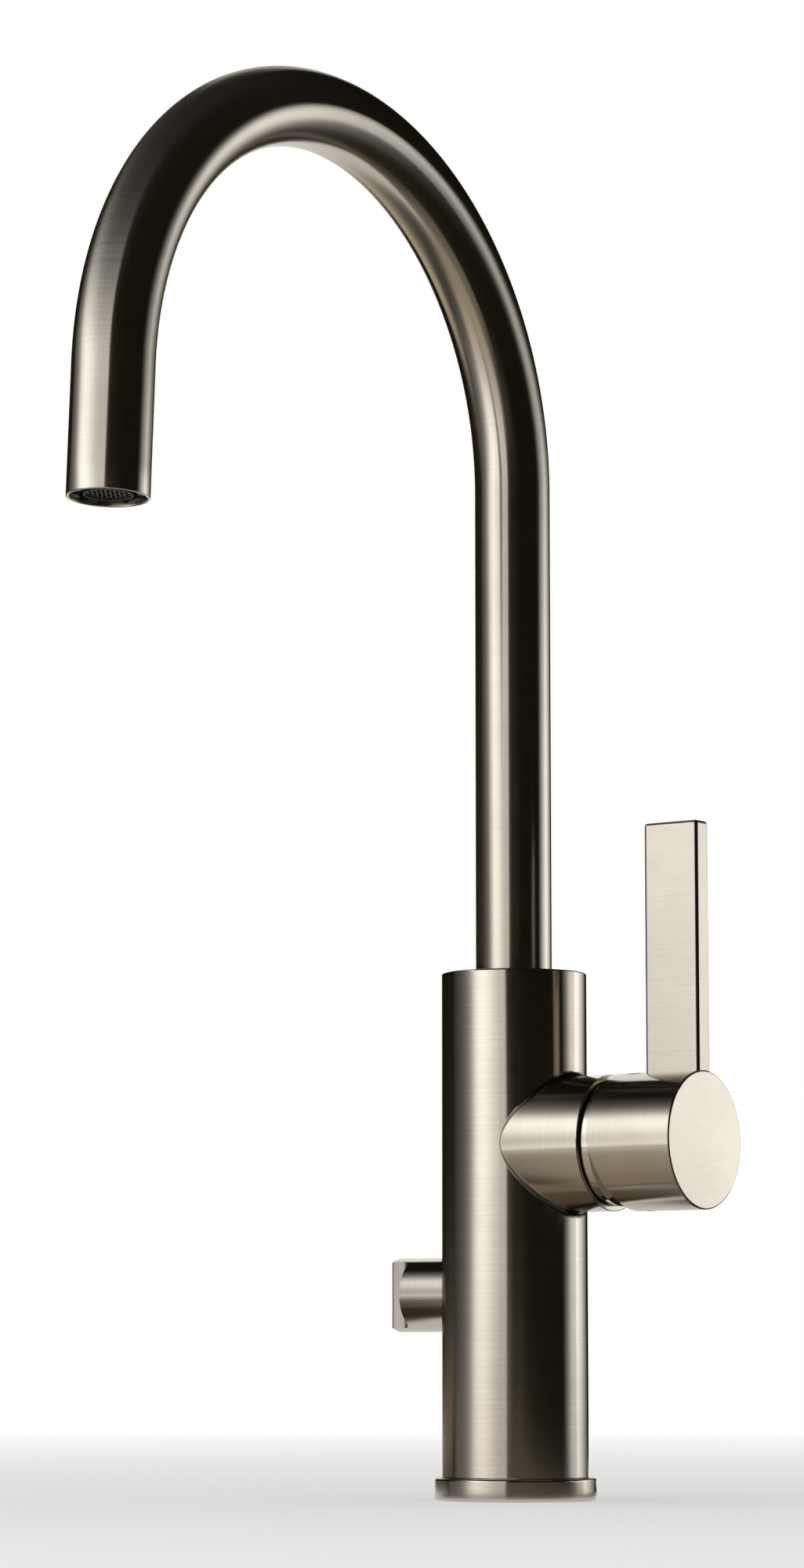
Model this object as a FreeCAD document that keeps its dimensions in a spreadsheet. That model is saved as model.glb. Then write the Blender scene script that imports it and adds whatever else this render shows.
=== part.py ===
import FreeCAD, Part
import math
import os
import re

import Sketcher

# Kitchen mixer tap with a swan-neck spout, a side lever and a shut-off knob.
# Frame: origin at the centre of the base underside, +Z up, the spout points to -Y,
# the lever stands on the +X side and the shut-off knob on the -X side. Millimetres, degrees.

SIZES = (
    # Base ring and what seals it
    ("ring_overhang", 2.45),
    ("ring_height", 7.1),
    ("ring_edge", 0.8),
    ("gasket_width", 4.0),
    ("gasket_height", 2.0),
    ("gasket_fit", 0.05),
    ("spigot_dia", 36.0),
    ("spigot_fit", 0.15),
    ("spigot_lift", 1.0),
    ("base_o_ring_section", 1.8),
    ("o_ring_fit", 0.05),
    # Body and its connections underneath
    ("body_dia", 47.6),
    ("body_height", 163.5),
    ("body_edge", 0.5),
    ("inlet_hole_dia", 9.0),
    ("inlet_hole_depth", 12.0),
    ("inlet_side", 10.5),
    ("inlet_forward", 2.5),
    ("appliance_back", 10.5),
    ("mixed_back", 5.0),
    ("stud_hole_dia", 6.8),
    ("stud_hole_depth", 16.0),
    ("channel_dia", 7.0),
    ("port_dia", 6.0),
    # Side housing and mixing cartridge, measured along the lever axis from the tap axis
    ("lever_drop", 56.4),
    ("housing_reach", 38.5),
    ("housing_inset", 1.85),
    ("housing_fillet", 2.0),
    ("housing_edge", 0.3),
    ("cartridge_dia", 34.8),
    ("cartridge_fit", 0.2),
    ("cartridge_seat", 9.0),
    ("cartridge_base_height", 4.0),
    ("inlet_port_rise", 4.5),
    ("inlet_port_side", 7.0),
    ("outlet_port_drop", 6.0),
    ("seal_width", 1.6),
    ("seal_height", 1.5),
    ("peg_dia", 3.0),
    ("peg_length", 2.5),
    ("peg_side", 13.0),
    ("case_wall", 1.6),
    ("disc_fit", 0.2),
    ("disc_film", 0.05),
    ("fixed_disc_height", 3.5),
    ("moving_disc_dia", 23.6),
    ("moving_disc_height", 2.95),
    ("mixing_pocket_depth", 1.5),
    ("mixing_pocket_length", 8.5),
    ("mixing_pocket_width", 15.0),
    ("mixing_pocket_lead", 1.0),
    ("carrier_dia", 24.0),
    ("carrier_height", 4.5),
    ("rib_width", 3.0),
    ("rib_height", 1.2),
    ("rib_length", 10.0),
    ("rib_side", 8.5),
    ("rib_fit", 0.15),
    ("rotor_gap", 0.5),
    ("rotor_height", 9.5),
    ("rotor_fit", 0.1),
    ("pivot_rise", 5.0),
    ("pin_dia", 3.0),
    ("pin_fit", 0.03),
    ("pin_setback", 1.0),
    ("lip_height", 1.9),
    ("lip_width", 6.3),
    ("lever_tilt", 22.0),
    # Lever stem
    ("stem_width", 8.0),
    ("stem_fit", 0.2),
    ("stem_lead", 3.5),
    ("stem_grip", 9.8),
    ("ball_dia", 5.2),
    ("ball_arm", 7.3),
    ("ball_fit", 0.15),
    ("neck_dia", 3.6),
    # Clamping nut and dome ring
    ("nut_step", 0.9),
    ("nut_fit", 0.1),
    ("nut_bore_dia", 28.0),
    ("nut_thread_length", 2.6),
    ("nut_collar_length", 1.9),
    ("dome_gap", 0.5),
    ("dome_wall", 2.75),
    ("dome_straight", 2.8),
    ("dome_drop", 1.15),
    # Handle cap, lever bar and what holds them
    ("handle_gap", 3.7),
    ("handle_clearance", 0.55),
    ("handle_rim", 1.2),
    ("handle_rim_length", 4.2),
    ("handle_wall", 3.1),
    ("handle_length", 30.8),
    ("handle_end_wall", 4.0),
    ("handle_edge", 0.6),
    ("handle_bevel", 5.5),
    ("hub_dia", 15.0),
    ("hub_set_back", 4.8),
    ("socket_fit", 0.05),
    ("grub_dia", 4.0),
    ("grub_length", 12.0),
    ("grub_fit", 0.05),
    ("grub_boss_wall", 1.0),
    ("grub_place", 11.2),
    ("grub_key", 2.0),
    ("grub_key_depth", 2.5),
    ("bar_width", 20.0),
    ("bar_thickness", 7.5),
    ("bar_rise", 102.2),
    ("bar_edge", 1.2),
    ("bar_screw_dia", 4.0),
    ("bar_screw_length", 14.0),
    ("bar_screw_head_dia", 7.0),
    ("bar_screw_head_height", 2.2),
    ("bar_screw_pitch", 8.0),
    ("bar_screw_fit", 0.05),
    ("index_length", 4.4),
    ("index_width", 11.2),
    ("index_depth", 1.6),
    ("index_place", 7.2),
    ("index_fit", 0.1),
    # Spout, from the top of the body upwards, and its swivel
    ("tube_dia", 25.0),
    ("tube_wall", 2.0),
    ("spout_rise", 160.6),
    ("spout_radius", 105.2),
    ("spout_sweep", 177.24),
    ("outlet_length", 40.8),
    ("tube_insert", 5.0),
    ("socket_clearance", 0.25),
    ("tail_clearance", 0.65),
    ("tail_grip", 10.0),
    ("tail_solder", 0.02),
    ("tail_bore_dia", 15.0),
    ("land", 1.5),
    ("bush_height", 4.0),
    ("bush_thickness", 1.4),
    ("bush_split", 1.0),
    ("swivel_fit", 0.1),
    ("o_ring_section", 1.7),
    ("groove_side_play", 0.3),
    ("stop_groove_height", 3.6),
    ("stop_groove_depth", 2.1),
    ("swivel_each_way", 60.0),
    ("swivel_stop_margin", 10.0),
    ("lock_screw_dia", 4.0),
    ("lock_screw_tip_dia", 3.0),
    ("lock_screw_tip_gap", 0.4),
    ("lock_screw_sink", 0.6),
    ("washer_height", 1.5),
    ("washer_film", 0.05),
    # Aerator, measured from the outlet's rim into the tube
    ("outlet_rim", 1.0),
    ("aerator_sink", 0.8),
    ("aerator_height", 9.0),
    ("aerator_fit", 0.05),
    ("aerator_lip_width", 0.5),
    ("aerator_window_dia", 13.8),
    ("aerator_floor", 0.8),
    ("aerator_wall", 2.4),
    ("notch_count", 8),
    ("notch_width", 4.2),
    ("notch_depth", 2.0),
    ("notch_length", 2.4),
    ("aerator_seal_height", 1.2),
    ("aerator_seal_width", 2.9),
    ("grid_sink", 0.5),
    ("grid_flange_height", 1.0),
    ("grid_pitch", 1.33),
    ("grid_cell", 4.2),
    ("grid_bar", 0.45),
    ("grid_turn", 35.4),
    ("jet_count", 12),
    ("jet_dia", 1.6),
    ("jet_ring_dia", 10.4),
    ("jet_plate_height", 1.5),
    ("insert_wall", 1.3),
    # Shut-off valve and knob, measured along the knob axis from the tap axis
    ("valve_rise", 66.2),
    ("valve_seat", 1.0),
    ("valve_seal_height", 1.5),
    ("valve_seal_width", 2.4),
    ("valve_disc_dia", 13.2),
    ("valve_disc_height", 2.0),
    ("valve_disc_hole_dia", 3.2),
    ("valve_disc_hole_side", 3.2),
    ("valve_cup_wall", 1.4),
    ("valve_thread_fit", 0.1),
    ("valve_window_dia", 2.4),
    ("valve_shoulder", 19.0),
    ("hex_height", 5.0),
    ("hex_corner_dia", 19.6),
    ("spindle_dia", 10.0),
    ("spindle_fit", 0.1),
    ("spindle_flange_height", 1.4),
    ("tongue_width", 2.5),
    ("tongue_depth", 1.0),
    ("tongue_fit", 0.05),
    ("spindle_top_dia", 8.0),
    ("spindle_grip", 7.0),
    ("circlip_height", 0.8),
    ("circlip_depth", 0.8),
    ("circlip_width", 2.2),
    ("circlip_fit", 0.04),
    ("circlip_split", 3.0),
    ("headwork_o_ring_section", 1.7),
    ("knob_dia", 24.2),
    ("knob_fit", 0.3),
    ("knob_foot_gap", 0.6),
    ("knob_wall", 1.7),
    ("knob_hollow", 12.0),
    ("knob_end", 45.7),
    ("knob_grip_length", 8.0),
    ("knob_web", 10.6),
    ("knob_root", 2.7),
    ("knob_edge", 1.0),
    ("knob_grub_dia", 3.0),
    ("knob_grub_length", 6.0),
    ("knob_grub_place", 3.0),
)

PLACES = (
    # Base and body
    ("body_r", "body_dia / 2"),
    ("ring_r", "body_r + ring_overhang"),
    ("spigot_r", "spigot_dia / 2"),
    ("ring_bore_r", "spigot_r + spigot_fit"),
    ("gasket_mid_r", "(ring_bore_r + ring_r) / 2"),
    ("gasket_in_r", "gasket_mid_r - gasket_width / 2"),
    ("gasket_out_r", "gasket_mid_r + gasket_width / 2"),
    ("base_groove_r", "ring_bore_r - o_ring_fit * 2 - base_o_ring_section"),
    ("base_groove_mid", "(spigot_lift + ring_height) / 2"),
    ("base_groove_half", "base_o_ring_section / 2 + groove_side_play / 2"),
    ("body_top", "ring_height + body_height"),
    ("lever_height", "body_top - lever_drop"),
    # Spout socket: washer, tail with its grooves, and the tube's end, stacked upwards
    ("tube_r", "tube_dia / 2"),
    ("tube_in_r", "tube_r - tube_wall"),
    ("socket_r", "tube_r + socket_clearance"),
    ("tail_r", "socket_r - tail_clearance"),
    ("o_ring_slot", "o_ring_section + groove_side_play"),
    ("tail_stack", "land * 6 + bush_height * 2 + o_ring_slot * 2 + stop_groove_height"),
    ("tube_low", "body_top - tube_insert"),
    ("tail_low", "tube_low - tail_stack"),
    ("washer_low", "tail_low - washer_film - washer_height"),
    ("lower_bush_low", "tail_low + land"),
    ("lower_o_ring_low", "lower_bush_low + bush_height + land"),
    ("stop_low", "lower_o_ring_low + o_ring_slot + land"),
    ("upper_o_ring_low", "stop_low + stop_groove_height + land"),
    ("upper_bush_low", "upper_o_ring_low + o_ring_slot + land"),
    ("bush_out_r", "socket_r - swivel_fit"),
    ("bush_in_r", "bush_out_r - bush_thickness"),
    ("bush_groove_r", "bush_in_r - o_ring_fit"),
    ("spout_o_ring_r", "socket_r - o_ring_fit - o_ring_section / 2"),
    ("o_ring_groove_r", "socket_r - o_ring_fit * 2 - o_ring_section"),
    ("stop_groove_r", "tail_r - stop_groove_depth"),
    ("stop_mid", "stop_low + stop_groove_height / 2"),
    ("lock_tip_start", "stop_groove_r + lock_screw_tip_gap"),
    ("arc_height", "body_top + spout_rise"),
    ("outlet_y", "spout_radius * cos(spout_sweep) - spout_radius - outlet_length * sin(spout_sweep)"),
    ("outlet_z", "arc_height + spout_radius * sin(spout_sweep) + outlet_length * cos(spout_sweep)"),
    ("outlet_lean", "180 - spout_sweep"),
    # Aerator
    ("outlet_bore_r", "tube_r - outlet_rim"),
    ("aerator_r", "outlet_bore_r - aerator_fit"),
    ("aerator_in_r", "aerator_r - aerator_wall"),
    ("aerator_window_r", "aerator_window_dia / 2"),
    ("aerator_top", "aerator_sink + aerator_height"),
    ("aerator_lip_r", "aerator_window_r + aerator_lip_width"),
    ("notch_r", "aerator_r - notch_length"),
    ("groove_mid_r", "(aerator_lip_r + notch_r) / 2"),
    ("notch_floor", "aerator_sink + notch_depth"),
    ("grid_low", "aerator_sink + grid_sink"),
    ("grid_seat", "notch_floor + aerator_floor"),
    ("insert_low", "grid_seat + grid_flange_height"),
    ("outlet_bore_depth", "aerator_top + aerator_seal_height"),
    ("insert_r", "aerator_in_r - aerator_fit"),
    # Cartridge, along the lever axis
    ("cartridge_r", "cartridge_dia / 2"),
    ("chamber_r", "cartridge_r + cartridge_fit"),
    ("housing_r", "body_r - housing_inset"),
    ("case_in_r", "cartridge_r - case_wall"),
    ("port_r", "port_dia / 2"),
    ("seal_r", "port_r + seal_width"),
    ("disc_low", "cartridge_seat + cartridge_base_height"),
    ("moving_disc_low", "disc_low + fixed_disc_height + disc_film"),
    ("carrier_low", "moving_disc_low + moving_disc_height"),
    ("carrier_top", "carrier_low + carrier_height"),
    ("rotor_low", "carrier_top + rotor_gap"),
    ("rotor_top", "rotor_low + rotor_height"),
    ("case_top", "rotor_top + rotor_fit + lip_height"),
    ("rotor_r", "case_in_r - rotor_fit"),
    ("pivot", "rotor_low + pivot_rise"),
    ("pin_r", "pin_dia / 2"),
    ("pin_half", "rotor_r - pin_setback"),
    ("slot_half", "stem_width / 2 / cos(lever_tilt) + pivot_rise * tan(lever_tilt) + stem_fit * 2"),
    ("ball_place", "pivot - ball_arm"),
    ("stem_low", "pivot - stem_lead"),
    # Nut, dome ring and handle, outwards from the housing's end
    ("nut_thread_r", "chamber_r + nut_step"),
    ("nut_r", "nut_thread_r - nut_fit"),
    ("nut_collar_low", "case_top + nut_thread_length"),
    ("nut_top", "nut_collar_low + nut_collar_length"),
    ("dome_in_r", "chamber_r"),
    ("nut_collar_r", "dome_in_r - nut_fit"),
    ("dome_low", "housing_reach + dome_gap"),
    ("dome_r", "dome_in_r + dome_wall"),
    ("dome_mid", "dome_low + dome_straight"),
    ("dome_sphere_r", "sqrt((dome_mid - pivot)^2 + dome_r^2)"),
    ("dome_end_r", "dome_r - dome_drop"),
    ("dome_end", "pivot + sqrt(dome_sphere_r^2 - dome_end_r^2)"),
    ("handle_low", "housing_reach + handle_gap"),
    ("handle_bore_r", "dome_r + handle_clearance"),
    ("handle_r", "handle_bore_r + handle_rim"),
    ("handle_in_r", "handle_r - handle_wall"),
    ("handle_step", "handle_low + handle_rim_length"),
    ("handle_end", "handle_low + handle_length"),
    ("handle_floor", "handle_end - handle_end_wall"),
    ("hub_low", "handle_low + hub_set_back"),
    ("stem_end", "hub_low + stem_grip"),
    ("grub_x", "handle_low + grub_place"),
    ("grub_r", "grub_dia / 2"),
    ("grub_boss_r", "grub_r + grub_boss_wall"),
    ("bar_low", "handle_end - bar_width"),
    ("bar_screw_outer", "handle_floor - bar_screw_head_dia / 2 - disc_fit"),
    ("bar_screw_inner", "bar_screw_outer - bar_screw_pitch"),
    ("bar_screw_r", "bar_screw_dia / 2"),
    ("bar_screw_head_r", "bar_screw_head_dia / 2"),
    ("bar_screw_seat", "sqrt(handle_in_r^2 - bar_screw_head_r^2) - bar_screw_fit"),
    ("index_mid", "handle_low + index_place"),
    ("index_floor", "handle_r - index_depth"),
    # Shut-off valve, along the knob axis
    ("valve_disc_r", "valve_disc_dia / 2"),
    ("valve_cup_r", "valve_disc_r + disc_fit"),
    ("headwork_r", "valve_cup_r + valve_cup_wall"),
    ("valve_bore_r", "headwork_r + valve_thread_fit"),
    ("headwork_low", "valve_seat + valve_seal_height"),
    ("valve_moving_low", "headwork_low + valve_disc_height + disc_film"),
    ("flange_low", "valve_moving_low + valve_disc_height + disc_film"),
    ("cup_top", "flange_low + spindle_flange_height + disc_film"),
    ("headwork_top", "valve_shoulder + hex_height"),
    ("spindle_r", "spindle_dia / 2"),
    ("spindle_bore_r", "spindle_r + spindle_fit"),
    ("spindle_top_r", "spindle_top_dia / 2"),
    ("spindle_o_ring_mid", "(cup_top + valve_shoulder) / 2"),
    ("spindle_o_ring_half", "o_ring_slot / 2"),
    ("spindle_groove_r", "spindle_bore_r - o_ring_fit * 2 - o_ring_section"),
    ("circlip_low", "headwork_top + circlip_fit * 3"),
    ("circlip_top", "circlip_low + circlip_height"),
    ("circlip_groove_r", "spindle_r - circlip_depth"),
    ("spindle_shoulder", "circlip_top + circlip_fit + land / 2"),
    ("knob_r", "knob_dia / 2"),
    ("knob_recess_r", "knob_r + knob_fit"),
    ("knob_foot", "valve_shoulder + knob_foot_gap"),
    ("knob_hollow_r", "knob_r - knob_wall"),
    ("knob_floor", "knob_foot + knob_hollow"),
    ("knob_shoulder", "knob_end - knob_grip_length"),
    ("spindle_end", "knob_floor + spindle_grip"),
    ("knob_grub_x", "knob_floor + knob_grub_place"),
    ("knob_grub_r", "knob_grub_dia / 2"),
    ("o_ring_recess", "headwork_o_ring_section + o_ring_fit * 2"),
)

document = FreeCAD.newDocument("kitchen_mixer_tap")
sizes = document.addObject("Spreadsheet::Sheet", "Sizes")
places = document.addObject("Spreadsheet::Sheet", "Places")
nodes = []

SIZE_NAMES = {name for name, number in SIZES}
PLACE_NAMES = {name for name, formula in PLACES}

NEAR = 1e-4
UPRIGHT = FreeCAD.Rotation()
ALONG_X = FreeCAD.Rotation(FreeCAD.Vector(0, 1, 0), 90)
AGAINST_X = FreeCAD.Rotation(FreeCAD.Vector(0, 1, 0), -90)
ALONG_Y = FreeCAD.Rotation(FreeCAD.Vector(1, 0, 0), -90)
AGAINST_Y = FreeCAD.Rotation(FreeCAD.Vector(1, 0, 0), 90)


def bound(expression, own_sheet=False):
    """Turn the names of sizes and places in an expression into references to their cells."""

    def reference(word):
        name = word.group()
        if name in SIZE_NAMES:
            return "Sizes." + name
        if name in PLACE_NAMES and not own_sheet:
            return "Places." + name
        return name

    return re.sub(r"[a-z_]+", reference, expression)


def value(expression):
    """The number that an expression has now."""
    return float(places.evalExpression(bound(expression)))


def fill_sheets():
    """The driving sizes are plain numbers; the places are formulas of them."""
    for row, (name, number) in enumerate(SIZES, start=1):
        sizes.set("A%d" % row, name)
        sizes.set("B%d" % row, str(number))
        sizes.setAlias("B%d" % row, name)
    for row, (name, formula) in enumerate(PLACES, start=1):
        places.set("A%d" % row, name)
        places.set("B%d" % row, "=" + bound(formula, own_sheet=True))
        places.setAlias("B%d" % row, name)
    document.recompute()


def place(item, rotation, base):
    """Turn an object or feature and tie its position to the sheet."""
    item.Placement = FreeCAD.Placement(FreeCAD.Vector(*[value(part) for part in base]), rotation)
    for axis, part in zip("xyz", base):
        item.setExpression("Placement.Base." + axis, bound(part))


def on_tap_axis(item):
    """Local Z is the tap's own axis."""
    place(item, UPRIGHT, ("0", "0", "0"))


def on_lever_axis(item):
    """Local Z runs out along the lever axis, and local -X points up."""
    place(item, ALONG_X, ("0", "0", "lever_height"))


def on_knob_axis(item):
    """Local Z runs out along the knob axis, and local +X points up."""
    place(item, AGAINST_X, ("0", "0", "valve_rise"))


def at_outlet(item):
    """Local Z runs from the outlet's rim back into the tube."""
    lean = FreeCAD.Rotation(FreeCAD.Vector(-1, 0, 0), value("outlet_lean"))
    place(item, lean, ("0", "outlet_y", "outlet_z"))
    item.setExpression("Placement.Rotation.Angle", bound("outlet_lean"))


def keep(item, label, seat):
    """Make a finished object one of the tap's nodes and seat it in the tap's frame."""
    item.Label = label
    seat(item)
    nodes.append(item)


def new_sketch(body, plane, name):
    """An empty sketch on one of the body's own origin planes."""
    sketch = body.newObject("Sketcher::SketchObject", name)
    support = [feature for feature in body.Origin.OriginFeatures if feature.Role == plane][0]
    sketch.AttachmentSupport = [(support, "")]
    sketch.MapMode = "FlatFace"
    return sketch


def pin(sketch, kind, index, point, expression):
    """Tie one coordinate of a sketch point to the sheet."""
    if expression == "0":
        axis = -2 if kind == "DistanceX" else -1
        sketch.addConstraint(Sketcher.Constraint("PointOnObject", index, point, axis))
        return
    constraint = sketch.addConstraint(Sketcher.Constraint(kind, -1, 1, index, point, value(expression)))
    sketch.setExpression("Constraints[%d]" % constraint, bound(expression))


def draw_outline(sketch, corners):
    """A closed outline of straight edges whose corners are tied to the sheet."""
    first = sketch.GeometryCount
    points = [FreeCAD.Vector(value(x), value(y), 0) for x, y in corners]
    for start, end in zip(points, points[1:] + points[:1]):
        sketch.addGeometry(Part.LineSegment(start, end), False)
    for step in range(len(points)):
        following = first + (step + 1) % len(points)
        sketch.addConstraint(Sketcher.Constraint("Coincident", first + step, 2, following, 1))
    for step, (x, y) in enumerate(corners):
        pin(sketch, "DistanceX", first + step, 1, x)
        pin(sketch, "DistanceY", first + step, 1, y)


def draw_circle(sketch, radius):
    """A circle about the sketch's origin."""
    curve = Part.Circle(FreeCAD.Vector(), FreeCAD.Vector(0, 0, 1), value(radius))
    circle = sketch.addGeometry(curve, False)
    sketch.addConstraint(Sketcher.Constraint("Coincident", circle, 3, -1, 1))
    constraint = sketch.addConstraint(Sketcher.Constraint("Radius", circle, value(radius)))
    sketch.setExpression("Constraints[%d]" % constraint, bound(radius))


def turned(name, corners):
    """A body turned about local Z from an outline of (radius, height) corners."""
    body = document.addObject("PartDesign::Body", name)
    sketch = new_sketch(body, "XZ_Plane", name + "_profile")
    draw_outline(sketch, corners)
    turn = body.newObject("PartDesign::Revolution", name + "_turn")
    turn.Profile = sketch
    turn.ReferenceAxis = (sketch, ["V_Axis"])
    turn.Angle = 360
    document.recompute()
    return body


def tube_outline(inner, outer, low, high):
    """The corners of a plain ring's section."""
    return ((inner, low), (outer, low), (outer, high), (inner, high))


def add_feature(body, kind, name, dimensions, rotation, base):
    """A primitive feature; it has to change the body's volume."""
    before = body.Shape.Volume if body.Tip else 0.0
    feature = body.newObject("PartDesign::" + kind, name)
    for dimension, expression in dimensions.items():
        feature.setExpression(dimension, bound(expression))
    place(feature, rotation, base)
    document.recompute()
    if abs(body.Shape.Volume - before) < NEAR:
        raise ValueError(name + " changes nothing")
    return feature


def drill(body, name, radius, depth, base, rotation=UPRIGHT):
    """A round hole from a base point along the turned Z axis."""
    return add_feature(body, "SubtractiveCylinder", name, {"Radius": radius, "Height": depth}, rotation, base)


def add_rod(body, name, radius, length, base, rotation=UPRIGHT):
    """A round rod from a base point along the turned Z axis."""
    return add_feature(body, "AdditiveCylinder", name, {"Radius": radius, "Height": length}, rotation, base)


def block(body, kind, name, length, width, height, base):
    """A box of the given sizes along X, Y and Z, from its lowest corner."""
    dimensions = {"Length": length, "Width": width, "Height": height}
    return add_feature(body, kind, name, dimensions, UPRIGHT, base)


def pattern_round(body, original, count, name):
    """Copies of a feature all round local Z."""
    pattern = body.newObject("PartDesign::PolarPattern", name)
    pattern.Originals = [original]
    axis = [feature for feature in body.Origin.OriginFeatures if feature.Role == "Z_Axis"][0]
    pattern.Axis = (axis, [""])
    pattern.Angle = 360
    pattern.setExpression("Occurrences", bound(count))
    body.Tip = pattern
    document.recompute()


def cut_through(body, name, plane, outlines, width):
    """Cut closed outlines through the body, evenly to both sides of an origin plane."""
    before = body.Shape.Volume
    sketch = new_sketch(body, plane, name + "_outline")
    for corners in outlines:
        draw_outline(sketch, corners)
    pocket = body.newObject("PartDesign::Pocket", name)
    pocket.Profile = sketch
    pocket.Midplane = True
    pocket.setExpression("Length", bound(width))
    document.recompute()
    if body.Shape.Volume > before - NEAR:
        raise ValueError(name + " cuts nothing")


def round_edges(body, name, radius, wanted):
    """Round the edges of the body that the test picks out."""
    document.recompute()
    base = body.Tip
    chosen = ["Edge%d" % (step + 1) for step, edge in enumerate(base.Shape.Edges) if wanted(edge)]
    if not chosen:
        raise ValueError(name + " finds no edge")
    fillet = body.newObject("PartDesign::Fillet", name)
    fillet.Base = (base, chosen)
    fillet.setExpression("Radius", bound(radius))
    document.recompute()


def is_rim(edge, radius, height):
    """True for a circle about local Z of this radius at this height."""
    curve = edge.Curve
    if not isinstance(curve, Part.Circle):
        return False
    on_axis = math.hypot(curve.Center.x, curve.Center.y) < NEAR
    return on_axis and abs(curve.Radius - value(radius)) < NEAR and abs(curve.Center.z - value(height)) < NEAR


def o_ring(name, centre_r, section, height):
    """A round-section ring about local Z."""
    ring = document.addObject("Part::Torus", name)
    ring.setExpression("Radius1", bound(centre_r))
    ring.setExpression("Radius2", bound(section + " / 2"))
    place(ring, UPRIGHT, ("0", "0", height))
    return ring


def ring_solid(name, inner, outer, height, base):
    """A plain flat ring."""
    rings = []
    for role, radius in (("outer", outer), ("inner", inner)):
        cylinder = document.addObject("Part::Cylinder", name + "_" + role)
        cylinder.setExpression("Radius", bound(radius))
        cylinder.setExpression("Height", bound(height))
        place(cylinder, UPRIGHT, base)
        rings.append(cylinder)
    ring = document.addObject("Part::Cut", name)
    ring.Base = rings[0]
    ring.Tool = rings[1]
    return ring


def group(name, members):
    """Like pieces that share one node."""
    compound = document.addObject("Part::Compound", name)
    compound.Links = members
    return compound


def key_socket(body, name, across, base, rotation):
    """A hexagon socket in the end of a headless screw."""
    feature = add_feature(body, "SubtractivePrism", name,
                          {"Circumradius": across + " / 2 / cos(30)", "Height": "grub_key_depth"},
                          rotation, base)
    feature.Polygon = 6
    document.recompute()


def make_base():
    ring = turned("BaseRing", (
        ("ring_bore_r", "0"),
        ("gasket_in_r", "0"),
        ("gasket_in_r", "gasket_height"),
        ("gasket_out_r", "gasket_height"),
        ("gasket_out_r", "0"),
        ("ring_r", "0"),
        ("ring_r", "ring_height"),
        ("ring_bore_r", "ring_height"),
    ))
    round_edges(ring, "BaseRingEdges", "ring_edge", lambda edge: (
        is_rim(edge, "ring_r", "0") or is_rim(edge, "ring_r", "ring_height")))
    keep(ring, "base_ring", on_tap_axis)

    gasket = turned("BaseGasket", tube_outline(
        "gasket_in_r + gasket_fit", "gasket_out_r - gasket_fit", "0", "gasket_height"))
    keep(gasket, "base_gasket", on_tap_axis)

    centre_r = "ring_bore_r - o_ring_fit - base_o_ring_section / 2"
    seal = o_ring("BaseORing", centre_r, "base_o_ring_section", "base_groove_mid")
    seal.Label = "base_o_ring"
    nodes.append(seal)


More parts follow.
